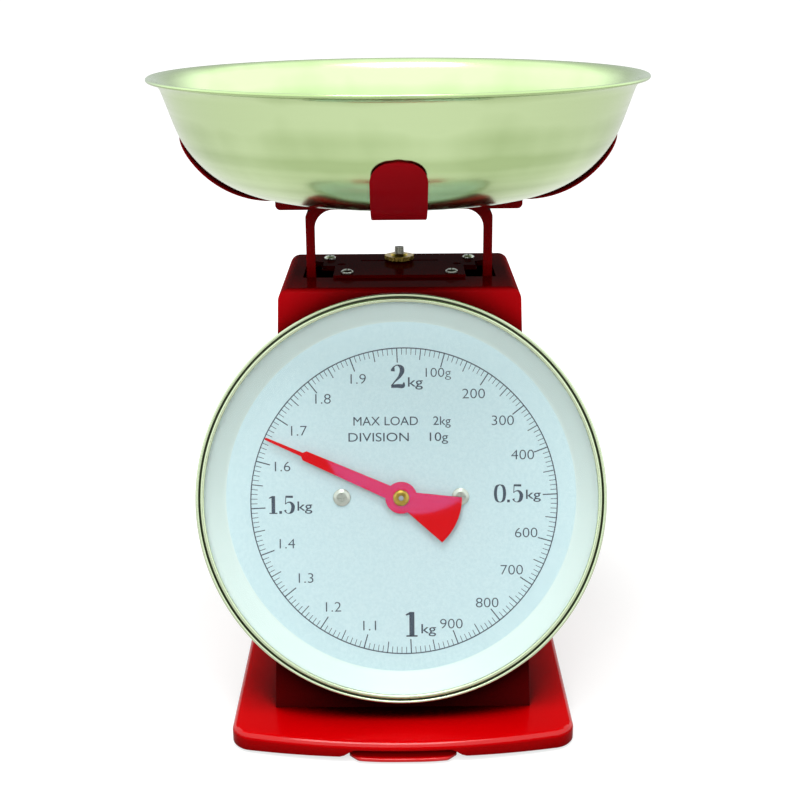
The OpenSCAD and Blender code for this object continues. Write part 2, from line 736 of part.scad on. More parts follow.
module carriage_rivets() color("#b9bcc0") rivet_places() {
    translate([0, 0, -leg_sheet - seat_gap - 1])
        cylinder(h = 2 * leg_sheet + seat_gap + 1.8, r = small_screw_r);
    translate([0, 0, leg_sheet]) cylinder(h = 0.9, r1 = 2.6, r2 = 1.8);
}

// The cross plate that carries the rack on a forward arm, in a level slot
slot_run = travel * tan(face_tilt);
ear_front = rack_pin_world[0] - slot_run - rack_pin_r - 1.5;
module rack_bracket() color("#a9adaf") difference() {
    union() {
        translate([-leg_in + seat_gap, leg_front + leg_sheet + seat_gap, bracket_z])
            cube([2 * leg_in - 2 * seat_gap, 14, leg_sheet]);
        both_sides() translate([leg_in - seat_gap - leg_sheet, leg_front + leg_sheet + seat_gap, bracket_z])
            cube([leg_sheet, 14, 10]);
        translate([ear_in, ear_front, bracket_z])
            cube([ear_out - ear_in, leg_front + leg_sheet + 1 - ear_front, leg_sheet]);
        for (x = [ear_in, ear_out - ear_t]) translate([x, ear_front, rack_pin_world[1] - 3])
            cube([ear_t, 20, bracket_z - rack_pin_world[1] + 3 + leg_sheet / 2]);
    }
    for (x = [ear_in, ear_out - ear_t]) translate([x - 0.5, 0, rack_pin_world[1]]) rotate([0, 90, 0])
        linear_extrude(ear_t + 1) {
            for (y = [rack_pin_world[0], rack_pin_world[0] - slot_run])
                translate([0, y]) circle(rack_pin_r + 0.15);
            translate([-rack_pin_r - 0.15, rack_pin_world[0] - slot_run])
                square([2 * rack_pin_r + 0.3, slot_run]);
        }
    rivet_places() translate([0, 0, -4]) cylinder(h = 8, r = small_screw_r + seat_gap);
}

// Pins on the legs, which the links hold level
module link_pins() color("#b4b7ba") both_sides() for (z = [upper_pin_z, lower_pin_z])
    translate([leg_in - 1, link_pin_y, z]) rotate([0, 90, 0]) {
        cylinder(h = link_in + link_sheet + 0.6 - leg_in + 1, r = link_pin_r);
        translate([0, 0, link_in + link_sheet + 0.6 - leg_in + 1]) cylinder(h = 1, r = link_pin_r + 0.9);
        cylinder(h = 1 - seat_gap, r = link_pin_r + 0.9);
    }

// A pair of arms on one tube, drawn level and turned to the resting angle
module link(pin_z) {
    eye_run = link_len * (1 - cos(link_swing / 2));
    translate([0, pivot_y, pin_z - travel / 2]) rotate([-link_swing / 2, 0, 0]) difference() {
        union() {
            rotate([0, 90, 0]) translate([0, 0, -link_in]) cylinder(h = 2 * link_in, r = pivot_r + 1.6);
            both_sides() translate([link_in, 0, 0]) rotate([90, 0, 90]) linear_extrude(link_sheet) {
                translate([-link_len, -link_h / 2]) square([link_len, link_h]);
                circle(link_h / 2);
                translate([-link_len, 0]) circle(link_h / 2);
            }
        }
        rotate([0, 90, 0]) translate([0, 0, -100]) cylinder(h = 200, r = pivot_r + run_gap);
        both_sides() translate([link_in - 1, 0, 0]) rotate([90, 0, 90]) linear_extrude(link_sheet + 2) {
            for (x = [-link_len, -link_len + eye_run]) translate([x, 0]) circle(link_pin_r + 0.2);
            translate([-link_len, -link_pin_r - 0.2]) square([eye_run, 2 * link_pin_r + 0.4]);
        }
    }
}
module upper_link() color("#9fa3a6") link(upper_pin_z);
module lower_link() color("#9fa3a6") link(lower_pin_z);

module pivot_rod(z) translate([0, pivot_y, z]) rotate([0, 90, 0])
    translate([0, 0, -case_half(z) + 0.1]) cylinder(h = 2 * case_half(z) - 0.2, r = pivot_r);
module upper_pivot_rod() color("#b4b7ba") pivot_rod(upper_pin_z - travel / 2);
module lower_pivot_rod() color("#b4b7ba") pivot_rod(lower_pin_z - travel / 2);

// ---- Pointer ----

module pointer_hub() color("#b89a48") on_dial() difference() {
    union() {
        translate([0, 0, pointer_z - 1]) cylinder(h = 1, r = 5);
        translate([0, 0, pointer_z]) cylinder(h = pointer_t, r = 2.4);
    }
    translate([0, 0, 0]) cylinder(h = 10, r = shaft_r + seat_gap);
}

module pointer() color("#e11c35") on_dial() translate([0, 0, pointer_z]) rotate(90 + pointer_rest)
    linear_extrude(pointer_t) difference() {
        union() {
            circle(7.7);
            // Arm, shoulder and needle, then the fan-shaped counterweight behind the hub
            polygon(concat([[0, 3.4], [0.71 * pointer_len, 2.4], [0.73 * pointer_len, 1],
                            [pointer_len, 0.6], [pointer_len, -0.6], [0.73 * pointer_len, -1],
                            [0.71 * pointer_len, -2.4], [0, -3.4]],
                           arc([0, 0], 0.41 * pointer_len, 204, 156, 12)));
        }
        circle(2.4 + seat_gap);
    }

module pointer_nut() color("#c9ab55") on_dial() translate([0, 0, pointer_z + pointer_t]) difference() {
    union() {
        cylinder(h = 1.2, r = 3.9);
        translate([0, 0, 1.2]) cylinder(h = 0.7, r1 = 3.9, r2 = 2.8);
    }
    translate([0, 0, -1]) cylinder(h = 5, r = shaft_r + seat_gap);
}

// ---- Zero adjuster and springs ----

module zero_nut() color("#b5953f") translate([0, adjust_y, plate_top]) difference() {
    union() {
        cylinder(h = nut_collar_h, r = 4.6);
        translate([0, 0, nut_collar_h]) linear_extrude(nut_h)
            polygon([for (i = [0:47]) (nut_r - (i % 2) * 0.45) * [cos(i * 7.5), sin(i * 7.5)]]);
        translate([0, 0, nut_collar_h + nut_h]) cylinder(h = nut_boss_h, r1 = 4.6, r2 = 3.9);
    }
    translate([0, 0, -1]) cylinder(h = 12, r = screw_r + run_gap);
}

module zero_screw() color("#85867a") translate([0, adjust_y, 0]) difference() {
    translate([0, 0, hanger_foot + 4]) cylinder(h = screw_top - hanger_foot - 4, r = screw_r);
    translate([-screw_r - 1, -0.5, screw_top - 1.2]) cube([2 * screw_r + 2, 1, 2]);
    // The lower end is halved, and its flat is riveted to the hanger
    translate([-screw_r - 1, -hanger_sheet / 2 - seat_gap, hanger_foot])
        cube([2 * screw_r + 2, 9, hanger_top - hanger_foot]);
}

// An upright strip whose foot turns forward, with a hole for each spring
module spring_hanger() color("#a9adaf") translate([0, adjust_y, 0]) difference() {
    union() {
        translate([-hanger_len / 2, -hanger_sheet / 2, hanger_foot])
            cube([hanger_len, hanger_sheet, hanger_top - hanger_foot]);
        translate([-hanger_len / 2, -5, hanger_foot]) cube([hanger_len, 5 + hanger_sheet / 2, hanger_sheet]);
    }
    both_sides() translate([spring_x, spring_y - adjust_y, hanger_foot - 1])
        cylinder(h = 4, r = hook_hole_r);
}

// Centre line of a spring: a helix whose two ends run in to straight hooks
coil_mid_r = coil_r - wire_r;
hook_out = 2.6;
function spring_path(low, high) =
    let(rise = high - low - 24, steps = coil_turns * 10)
    concat(
        [[0, -hook_out, low - wire_r - 0.15], [0, -0.9, low - wire_r - 0.15],
            [0, 0, low - wire_r + 0.7], [0, 0, low + 8]],
        [for (i = [0:steps]) let(a = i * 36, e = min(1, i / 8, (steps - i) / 8))
            [coil_mid_r * e * cos(a), coil_mid_r * e * sin(a), low + 12 + rise * i / steps]],
        [[0, 0, high - 8], [0, 0, high + wire_r - 0.7],
            [0, -0.9, high + wire_r + 0.15], [0, -hook_out, high + wire_r + 0.15]]);

// A round wire of n sides swept along a path, each ring carried on from the one before
function along(path, i) =
    unit(path[min(i + 1, len(path) - 1)] - path[max(i - 1, 0)]);
function carried(side, path, i) = unit(side - (side * along(path, i)) * along(path, i));
function ring_sides(path) =
    [for (i = 0, side = [1, 0, 0]; i < len(path); side = carried(side, path, i + 1), i = i + 1) side];
module wire(path, r, n) {
    last = len(path) - 1;
    sides = ring_sides(path);
    points = [for (i = [0:last], k = [0:n - 1])
        path[i] + r * (cos(360 * k / n) * sides[i] + sin(360 * k / n) * cross(sides[i], along(path, i)))];
    faces = concat(
        [[for (k = [0:n - 1]) k]],
        [for (i = [0:last - 1], k = [0:n - 1])
            [i * n + k, (i + 1) * n + k, (i + 1) * n + (k + 1) % n, i * n + (k + 1) % n]],
        [[for (k = [n - 1:-1:0]) last * n + k]]);
    polyhedron(points = points, faces = faces, convexity = 20);
}

module spring(x) color("#9aa0a4") translate([x, spring_y, 0])
    wire(spring_path(yoke_z, hanger_foot + hanger_sheet), wire_r, 6);
module left_spring() spring(-spring_x);
module right_spring() spring(spring_x);

// ---- Pan and its support ----

pan_arc_end = 90 - pan_lean;
function pan_path() = concat(
    [[0, 0]],
    arc([pan_floor_r, pan_corner_r], pan_corner_r, -90, pan_arc_end - 90, 16),
    [[pan_wall_r, pan_depth - rim_rise], [rim_r, pan_depth]]);

module pan() color("#d9dfc0") translate([0, pan_y, pan_z])
    rotate_extrude($fn = 128) sheet(pan_path(), pan_sheet);

// One arm: flat under the pan, then one bend that brings its tip up against the pan's wall
grip_r = pan_corner_r + rest_gap;
grip_end = acos((pan_corner_r + floor_gap - arm_rise) / grip_r);
tip_r = pan_floor_r + grip_r * sin(grip_end);
bend_r = ((tip_r - arm_flat_r) ^ 2 + arm_rise ^ 2) / (2 * arm_rise);
bend_end = 90 - asin((bend_r - arm_rise) / bend_r);
function arm_path() = concat(
    [[0, 0]],
    arc([arm_flat_r, bend_r], bend_r, -90, bend_end - 90, 16));

module arm() intersection() {
    rotate([90, 0, 0]) linear_extrude(arm_w, center = true) sheet(arm_path(), -arm_sheet);
    rotate([90, 0, 90]) linear_extrude(rim_r) {
        translate([-arm_w / 2, -5]) square([arm_w, arm_rise - arm_w / 2 + 5]);
        translate([0, arm_rise - arm_w / 2]) circle(arm_w / 2);
    }
}

module pan_support() color("#a30f22") difference() {
    translate([0, pan_y, seat_z]) for (turn = [0, 90, 180, 270]) rotate(turn) arm();
    support_rivet_places() translate([0, 0, -5]) cylinder(h = 10, r = 2 + seat_gap);
}

support_rivet_y = pan_y + 3.5;
module support_rivet_places() both_sides()
    for (x = [18, 50]) translate([x, support_rivet_y, beam_top]) children();
module support_rivets() color("#b9bcc0") support_rivet_places() {
    translate([0, 0, -leg_sheet - 1]) cylinder(h = leg_sheet + 1 + arm_sheet - seat_gap, r = 2);
    translate([0, 0, -leg_sheet - 1]) cylinder(h = 1, r1 = 2.6, r2 = 3.4);
}

// ---- The assembly ----

base_pan();
rubber_feet();
case_shell();
case_screws();
rear_cover();
cover_screws();
hanger_plate();
hanger_screws();
dial_pan();
dial_card();
dial_screws();
lens_gasket();
dial_lens();
bezel_ring();
movement_bracket();
rack_guide();
front_bush();
rear_bush();
upper_pivot_rod();
lower_pivot_rod();
pointer_shaft();
pinion();
shaft_collar();
pointer_hub();
pointer();
pointer_nut();
rack();
rack_pin();
carriage_frame();
spring_yoke();
rack_bracket();
carriage_rivets();
link_pins();
upper_link();
lower_link();
zero_nut();
zero_screw();
spring_hanger();
left_spring();
right_spring();
pan_support();
support_rivets();
pan();
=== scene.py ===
"""Mechanical kitchen scale: a red enamelled case with a sloping dial, a sprung platform and a spun steel pan.

Sizes are millimetres until a surface is made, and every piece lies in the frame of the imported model:
+Z up, the dial towards -Y, the table at Z = 0."""
import math

import bmesh
import bpy
import numpy as np
from mathutils import Matrix, Vector


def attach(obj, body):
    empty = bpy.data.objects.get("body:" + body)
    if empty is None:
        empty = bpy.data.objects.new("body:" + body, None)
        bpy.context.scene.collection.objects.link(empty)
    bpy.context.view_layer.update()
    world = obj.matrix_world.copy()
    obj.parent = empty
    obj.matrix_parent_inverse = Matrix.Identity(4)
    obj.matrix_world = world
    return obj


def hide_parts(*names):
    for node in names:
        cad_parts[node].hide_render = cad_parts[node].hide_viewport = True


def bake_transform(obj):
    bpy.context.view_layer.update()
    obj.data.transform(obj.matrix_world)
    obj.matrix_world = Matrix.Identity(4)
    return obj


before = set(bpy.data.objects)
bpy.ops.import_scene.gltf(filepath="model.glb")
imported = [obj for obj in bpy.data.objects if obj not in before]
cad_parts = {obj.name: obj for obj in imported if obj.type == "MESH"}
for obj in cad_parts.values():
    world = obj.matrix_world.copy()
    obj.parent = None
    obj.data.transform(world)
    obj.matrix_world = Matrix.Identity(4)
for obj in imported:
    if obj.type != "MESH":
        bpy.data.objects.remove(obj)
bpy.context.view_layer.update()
scene = bpy.context.scene

# ---- Camera ----
# A long-lens view from a little above the pan's rim, looking down at the dial.
camera_data = bpy.data.cameras.new("camera")
camera_data.lens = 59.85
camera_data.sensor_width = 36.0
camera = bpy.data.objects.new("camera", camera_data)
scene.collection.objects.link(camera)
look_down = math.radians(17.84)
camera.matrix_world = (
    Matrix.Translation((-0.0002, -0.66235, 0.352))
    @ Matrix.Rotation(math.radians(90) - look_down, 4, "X")
    @ Matrix.Rotation(math.radians(-0.45), 4, "Z")
)
scene.camera = camera

# ---- Table, backdrop and light ----
# A pale board under large soft lamps from high in front, so that flats that face up are bright, what lies under
# the pan and the dial is dark, and the table keeps only a faint shadow.


def linear(hex_colour, alpha=1.0):
    """sRGB hex to linear RGBA: each channel c becomes c/12.92 below 0.04045, else ((c + 0.055)/1.055)^2.4."""
    c = np.array([int(hex_colour[i:i + 2], 16) for i in (1, 3, 5)]) / 255
    c = np.where(c <= 0.04045, c / 12.92, ((c + 0.055) / 1.055) ** 2.4)
    return (*c.tolist(), alpha)


def add(tree, kind, inputs=None, **settings):
    """Adds a node. Its inputs take either a value or another node's output, which is linked."""
    node = tree.nodes.new(kind)
    for key, value in settings.items():
        setattr(node, key, value)
    for key, value in (inputs or {}).items():
        if isinstance(value, bpy.types.NodeSocket):
            tree.links.new(value, node.inputs[key])
        else:
            node.inputs[key].default_value = value
    return node


def ramp(tree, factor, low, dark, high, light):
    """Blends two colours over a factor: `dark` up to `low`, `light` from `high`."""
    blend = add(tree, "ShaderNodeValToRGB", {0: factor})
    for stop, position, colour in zip(blend.color_ramp.elements, (low, high), (dark, light)):
        stop.position = position
        stop.color = linear(colour)
    return blend


def noise(tree, scale, detail):
    """Noise that keeps to the piece, `scale` being its features along a metre."""
    place = add(tree, "ShaderNodeTexCoord")
    return add(tree, "ShaderNodeTexNoise", {"Vector": place.outputs["Object"], "Scale": scale, "Detail": detail})


def new_material(name):
    """An empty material and its node tree."""
    made = bpy.data.materials.new(name)
    made.use_nodes = True
    made.node_tree.nodes.clear()
    return made, made.node_tree


board, tree = new_material("white_board")
path = add(tree, "ShaderNodeLightPath")
matt = add(tree, "ShaderNodeBsdfDiffuse", {"Color": linear("#A9A9A8")})
# The board glows to the camera, full white away from the scale and dimmer close to it: a painted shade round the
# scale, in which the shadow shows
spot = add(tree, "ShaderNodeNewGeometry")
away = add(tree, "ShaderNodeVectorMath", {0: spot.outputs["Position"]}, operation="LENGTH")
spread = add(tree, "ShaderNodeMapRange", {"Value": away.outputs["Value"], "From Min": 0.12, "From Max": 0.4,
                                          "To Min": 0.68, "To Max": 1.0})
glow = add(tree, "ShaderNodeEmission", {"Color": (1, 1, 1, 1), "Strength": spread.outputs[0]})
mirrored = add(tree, "ShaderNodeEmission", {"Color": (1, 1, 1, 1), "Strength": 0.72})
dark = add(tree, "ShaderNodeEmission", {"Color": (0, 0, 0, 1)})
shiny = add(tree, "ShaderNodeMixShader", {0: path.outputs["Is Glossy Ray"], 1: dark.outputs[0],
                                          2: mirrored.outputs[0]})
lift = add(tree, "ShaderNodeMixShader", {0: path.outputs["Is Camera Ray"], 1: shiny.outputs[0], 2: glow.outputs[0]})
both = add(tree, "ShaderNodeAddShader", {0: matt.outputs[0], 1: lift.outputs[0]})
add(tree, "ShaderNodeOutputMaterial", {"Surface": both.outputs[0]})

table_mesh = bpy.data.meshes.new("table")
table_mesh.from_pydata([(-6, -6, 0), (6, -6, 0), (6, 6, 0), (-6, 6, 0)], [], [(0, 1, 2, 3)])
table_mesh.materials.append(board)
table = bpy.data.objects.new("table", table_mesh)
scene.collection.objects.link(table)

world = bpy.data.worlds.new("studio")
scene.world = world
world.use_nodes = True
tree = world.node_tree
tree.nodes.clear()
path = add(tree, "ShaderNodeLightPath")
seen = add(tree, "ShaderNodeMath", {0: path.outputs["Is Camera Ray"], 1: path.outputs["Is Transmission Ray"]},
           operation="ADD", use_clamp=True)
# What shines back: bright walls in front and to the sides, a dim one behind the scale, and a dark patch straight
# ahead, where the onlooker stands
facing = add(tree, "ShaderNodeTexCoord")
split = add(tree, "ShaderNodeSeparateXYZ", {0: facing.outputs["Generated"]})
behind = add(tree, "ShaderNodeMapRange", {"Value": split.outputs["Y"], "From Min": 0.6, "From Max": 0.92,
                                          "To Min": 2.1, "To Max": 0.85})
ahead = add(tree, "ShaderNodeVectorMath", {0: facing.outputs["Generated"], 1: (0, -0.984, 0.172)},
            operation="DOT_PRODUCT")
patch = add(tree, "ShaderNodeMapRange", {"Value": ahead.outputs["Value"], "From Min": 0.972, "From Max": 0.99,
                                         "To Min": 1.0, "To Max": 0.1})
shine = add(tree, "ShaderNodeMath", {0: behind.outputs[0], 1: patch.outputs[0]}, operation="MULTIPLY")
soft = add(tree, "ShaderNodeBackground", {"Color": (1, 1, 1, 1), "Strength": 0.3})
mirrored = add(tree, "ShaderNodeBackground", {"Color": (0.95, 1, 1, 1), "Strength": shine.outputs[0]})
plain = add(tree, "ShaderNodeBackground", {"Color": (1, 1, 1, 1), "Strength": 1.1})
lit = add(tree, "ShaderNodeMixShader", {0: path.outputs["Is Glossy Ray"], 1: soft.outputs[0], 2: mirrored.outputs[0]})
shown = add(tree, "ShaderNodeMixShader", {0: seen.outputs[0], 1: lit.outputs[0], 2: plain.outputs[0]})
add(tree, "ShaderNodeOutputWorld", {"Surface": shown.outputs[0]})

for name, place, target, size, shape, power, tint in (
    ("top_lamp", (-0.1, -0.42, 1.95), (0, -0.1, 0.1), 0.9, "SQUARE", 26, (1, 1, 1)),
    ("front_lamp", (-0.5, -1.75, 1.35), (0, 0, 0.12), 1.0, "SQUARE", 19, (1, 1, 1)),
    ("side_lamp", (0.9, -1.5, 1.2), (0, 0, 0.12), 0.9, "SQUARE", 8, (1, 1, 1)),
    ("window", (0.016, -1.228, 0.421), (0, -0.061, 0.109), 0.256, "DISK", 0.64, (0.1, 0.34, 1)),
):
    lamp_data = bpy.data.lights.new(name, "AREA")
    lamp_data.shape = shape
    lamp_data.size = size
    lamp_data.energy = power
    lamp_data.color = tint
    lamp = bpy.data.objects.new(name, lamp_data)
    scene.collection.objects.link(lamp)
    # The two front lamps are hidden from polished metal
    lamp.visible_glossy = name in ("top_lamp", "window")
    aim = (Vector(target) - Vector(place)).to_track_quat("-Z", "Y")
    lamp.matrix_world = Matrix.Translation(place) @ aim.to_matrix().to_4x4()

# ---- Base ----
# One pressing of 1 mm steel: a flat top, a rounded shoulder, a short flange all round, and a front edge that
# bows out over a separate thumb tongue. Stove-enamelled red with the case.
base_w, base_front, base_back = 163.5, -122.65, 57.65
base_top, base_bow, base_corner, flange_foot = 10.0, 12.0, 9.0, 1.4
pan_y = 2.65


def surface(name, xyz, wrap_rows=False, wrap_columns=False, sharp=40.0):
    """A mesh from a grid of points: neighbours in rows and columns make quads, points that meet are merged, and
    its normals are turned outwards."""
    rows, columns = xyz.shape[:2]
    index = np.arange(rows * columns).reshape(rows, columns)
    if wrap_rows:
        index = np.vstack([index, index[:1]])
    if wrap_columns:
        index = np.hstack([index, index[:, :1]])
    quads = np.stack([index[:-1, :-1], index[1:, :-1], index[1:, 1:], index[:-1, 1:]], -1).reshape(-1, 4)
    mesh = bpy.data.meshes.new(name)
    mesh.from_pydata((xyz.reshape(-1, 3) / 1000).tolist(), [], quads.tolist())
    shell = bmesh.new()
    shell.from_mesh(mesh)
    bmesh.ops.remove_doubles(shell, verts=shell.verts, dist=2e-6)
    bmesh.ops.recalc_face_normals(shell, faces=shell.faces)
    shell.to_mesh(mesh)
    shell.free()
    mesh.shade_smooth()
    mesh.set_sharp_from_angle(angle=math.radians(sharp))
    piece = bpy.data.objects.new(name, mesh)
    scene.collection.objects.link(piece)
    return piece


def base_outline(turn, inset):
    """The base seen from above, moved in by `inset`: a rounded rectangle whose corners are arcs of radius r, read
    at the angles `turn`, with its front half pushed out by bow * (1 - (x / half width)^2)."""
    half = base_w / 2 - inset
    front, rear = base_front + base_bow + inset, base_back - inset
    r = max(base_corner - inset, 0.5)
    c, s = np.cos(turn), np.sin(turn)
    middle, deep = (front + rear) / 2, (rear - front) / 2
    # Each ray runs out to the box, and past a corner's centre it is pulled in to the arc
    k = np.minimum(half / np.maximum(np.abs(c), 1e-9), deep / np.maximum(np.abs(s), 1e-9))
    x, y = k * c, k * s
    cx, cy = half - r, deep - r
    ax, ay = np.maximum(np.abs(x) - cx, 0), np.maximum(np.abs(y) - cy, 0)
    corner = (ax > 0) & (ay > 0)
    scale = np.where(corner, r / np.maximum(np.hypot(ax, ay), 1e-9), 1.0)
    x = np.where(corner, np.sign(x) * (cx + ax * scale), x)
    y = np.where(corner, np.sign(y) * (cy + ay * scale), y) + middle
    out = np.clip((middle - y) / deep, 0, 1) ** 0.5
    y = y - base_bow * (1 - (x / (base_w / 2)) ** 2) * np.clip(out * 3 - 0.4, 0, 1)
    return x, y


half_w, half_d = base_w / 2, (base_back - base_front - base_bow) / 2
corner_turn = math.atan2(half_d - base_corner * 0.3, half_w - base_corner * 0.3)
corners = [-corner_turn, corner_turn, math.pi - corner_turn, math.pi + corner_turn, 2 * math.pi - corner_turn]
near_corner = 0.09
# A side's points stand apart, and the points round the corner at its end stand close
turn = np.concatenate([
    np.linspace(a, b, n, endpoint=False)
    for start, end, side_points in zip(corners, corners[1:], (40, 56, 40, 56))
    for a, b, n in ((start + near_corner, end - near_corner, side_points),
                    (end - near_corner, end + near_corner, 22))])
shoulder = 3.2
flange_rise, cut_rise, cut_half, cut_run = 1.9, 5.0, 22.04, 7.6
bend = np.linspace(0, math.pi / 2, 8)
rings = []
for inset, level in (
    [(shoulder + 40, base_top), (shoulder + 4, base_top)]
    + [(shoulder * (1 - math.sin(a)), base_top - shoulder * (1 - math.cos(a))) for a in bend]
    + [(0, flange_foot)]
    + [(0.5, flange_foot - 0.2), (1.0, flange_foot), (1.0, base_top - shoulder)]
    + [(1.0 + (shoulder - 1) * (1 - math.sin(a)), base_top - 1 - (shoulder - 1) * (1 - math.cos(a)))
       for a in bend[::-1]]
    + [(shoulder + 4, base_top - 1), (shoulder + 40, base_top - 1)]
):
    x, y = base_outline(turn, min(inset, shoulder + 4))
    if inset > shoulder + 20:
        # The flat closes on a point under the case
        x, y = x * 0, y * 0 - 30
    # The flange's lower edge rises from the corners to the middle of the front, and is cut back over the tongue
    at_front = y < base_front + base_bow + 2
    rise = np.where(at_front, flange_rise * np.clip(1 - np.abs(x) / 76, 0, 1) ** 0.8, 0)
    arch = np.where(at_front, np.clip((cut_half - np.abs(x)) / cut_run + 1, 0, 1), 0)
    cut = rise + (cut_rise - rise) * arch * arch * (3 - 2 * arch)
    lowered = np.where(level < 5, np.minimum(level + cut, base_top - shoulder - 0.2), level)
    rings.append(np.stack([x, y, lowered], -1))
base = surface("enamelled_base", np.array(rings), wrap_columns=True, sharp=50)


def red_enamel(name, tones, drift_scale, reach, shade_colour, open_from, gloss):
    """Sprayed paint over pressed steel: faintly rippled, and drifting slowly between two tones. Painted shade darkens
    it in recesses, where other faces stand within `reach` metres: the tone is multiplied by the shade colour where
    0.42 or less of the view is open, and by white from `open_from`."""
    enamel, tree = new_material(name)
    ripple = noise(tree, 330.0, 2.0)
    drift = noise(tree, drift_scale, 2.0)
    tone = ramp(tree, drift.outputs["Fac"], 0.3, tones[0], 0.7, tones[1])
    # Painted shade: ambient occlusion darkens the tone where other faces stand near
    shade_probe = add(tree, "ShaderNodeAmbientOcclusion", {"Distance": reach}, samples=8)
    depth = ramp(tree, shade_probe.outputs["AO"], 0.42, shade_colour, open_from, "#FFFFFF")
    shaded_tone = add(tree, "ShaderNodeVectorMath", {0: tone.outputs[0], 1: depth.outputs[0]}, operation="MULTIPLY")
    bump = add(tree, "ShaderNodeBump", {"Height": ripple.outputs["Fac"], "Strength": 0.12, "Distance": 0.0003})
    body = add(tree, "ShaderNodeBsdfPrincipled", {
        "Base Color": shaded_tone.outputs[0], "IOR": 1.3, "Coat Roughness": 0.08, "Normal": bump.outputs[0], **gloss})
    add(tree, "ShaderNodeOutputMaterial", {"Surface": body.outputs[0]})
    return enamel, tree, shaded_tone, body


# Stoving enamel: a glossy coat in a saturated red, with a dark maroon painted shade in its recesses
enamel = red_enamel("stoving_enamel", ("#C00003", "#CA0004"), 14.0, 0.052, "#220A12", 0.7,
                    {"Roughness": 0.3, "Specular IOR Level": 0.02, "Coat Weight": 0.03})[0]
# The coat pools on the shoulder, where it is thick and shines most
pooled = enamel.copy()
pooled.name = "pooled_stoving_enamel"
shine = pooled.node_tree.nodes["Principled BSDF"].inputs
shine["Coat Weight"].default_value = 0.55
shine["Coat Roughness"].default_value = 0.12
base.data.materials.append(enamel)
base.data.materials.append(pooled)
for face in base.data.polygons:
    face.material_index = int(face.center.z > (base_top - shoulder) / 1000 and 0.35 < face.normal.z < 0.93)
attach(base, "case")
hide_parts("base_pan")

# ---- Tongue ----
# A flat tab pressed from the same sheet, standing out under the base's front edge for a thumb to hold while
# the pan is lifted. Its front corners are cut off and its edges are rolled down.
tip, root, half_root, half_tip = base_front - 1.3, base_front + 9, 25.2, 20.5
tongue_top, tongue_foot, tongue_side = 2.9, 1.4, 1.9
across = np.concatenate([[-1.0], np.linspace(-1, 1, 41), [1.0]])
down = np.linspace(0, 1, 14)
S, T = np.meshgrid(down, across, indexing="ij")
# Width narrows over the last 5 mm, and the front edge bows a little with the base
reach = root + (tip - root) * S
half = np.interp(S, [0, 0.5, 0.93, 1.0], [half_root, half_root, half_tip + 1.0, half_tip])
X = T * half
Y = reach + 1.2 * (np.abs(T) ** 3) * S
edge = np.clip(np.maximum(np.abs(T) - 0.93, 0) / 0.07, 0, 1) + np.clip((S - 0.9) / 0.1, 0, 1)
Z = tongue_top - 0.5 * np.clip(edge, 0, 1) ** 2
Z_low = np.full_like(Z, tongue_foot)
# Both sheets end on one line at each side, which closes the sides
Z[:, [0, -1]] = Z_low[:, [0, -1]] = tongue_side
top_sheet = np.stack([X, Y, Z], -1)
low_sheet = np.stack([X, Y, Z_low], -1)[::-1]
tongue = surface("enamelled_tongue", np.concatenate([top_sheet, low_sheet]), wrap_rows=True, sharp=60)
# The tongue has the shoulder's glossy coat, and its painted shade is lightened: in recesses its tone darkens only to
# a light grey
tongue_enamel = pooled.copy()
tongue_enamel.name = "tongue_stoving_enamel"
tongue_enamel.node_tree.nodes["Color Ramp.001"].color_ramp.elements[0].color = (0.6, 0.6, 0.6, 1)
tongue.data.materials.append(tongue_enamel)
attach(tongue, "case")

# ---- Rubber feet ----
# Four moulded rubber feet pushed in under the corners of the base, black and matt.
rubber, tree = new_material("moulded_rubber")
grain = noise(tree, 900.0, 3.0)
bump = add(tree, "ShaderNodeBump", {"Height": grain.outputs["Fac"], "Strength": 0.3, "Distance": 0.0002})
body = add(tree, "ShaderNodeBsdfPrincipled", {
    "Base Color": linear("#202124"), "Roughness": 0.78, "IOR": 1.52, "Normal": bump.outputs[0]})
add(tree, "ShaderNodeOutputMaterial", {"Surface": body.outputs[0]})


def finish(node, made, width=0.3, segments=2):
    """Gives a CAD node its material, and rounds its edges by `width` millimetres: the mesh's loose triangles are
    welded and its flats cleared for that."""
    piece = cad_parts[node]
    piece.data.materials.clear()
    piece.data.materials.append(made)
    if width:
        weld = piece.modifiers.new("weld", "WELD")
        weld.merge_threshold = 1e-6
        flats = piece.modifiers.new("flats", "DECIMATE")
        flats.decimate_type = "DISSOLVE"
        flats.angle_limit = math.radians(0.4)
        rounded = piece.modifiers.new("edges", "BEVEL")
        rounded.width = width / 1000
        rounded.segments = segments
        rounded.limit_method = "ANGLE"
        rounded.angle_limit = math.radians(32)
        rounded.harden_normals = True
    return piece


finish("rubber_feet", rubber, 0.4)

# ---- Case ----
# The folded wedge of 1 mm steel, its back plate and the screws that hold them. Its enamel is deeper and less
# bright than the base's.
# The deeper red: less gloss, and shaded from further away
deep_gloss = {"Roughness": 0.26, "Specular IOR Level": 0.0, "Coat Weight": 0.025}
case_enamel, tree, shaded_tone, body = red_enamel(
    "case_red_enamel", ("#B7080F", "#C80A14"), 20.0, 0.08, "#5A1A24", 0.8, deep_gloss)
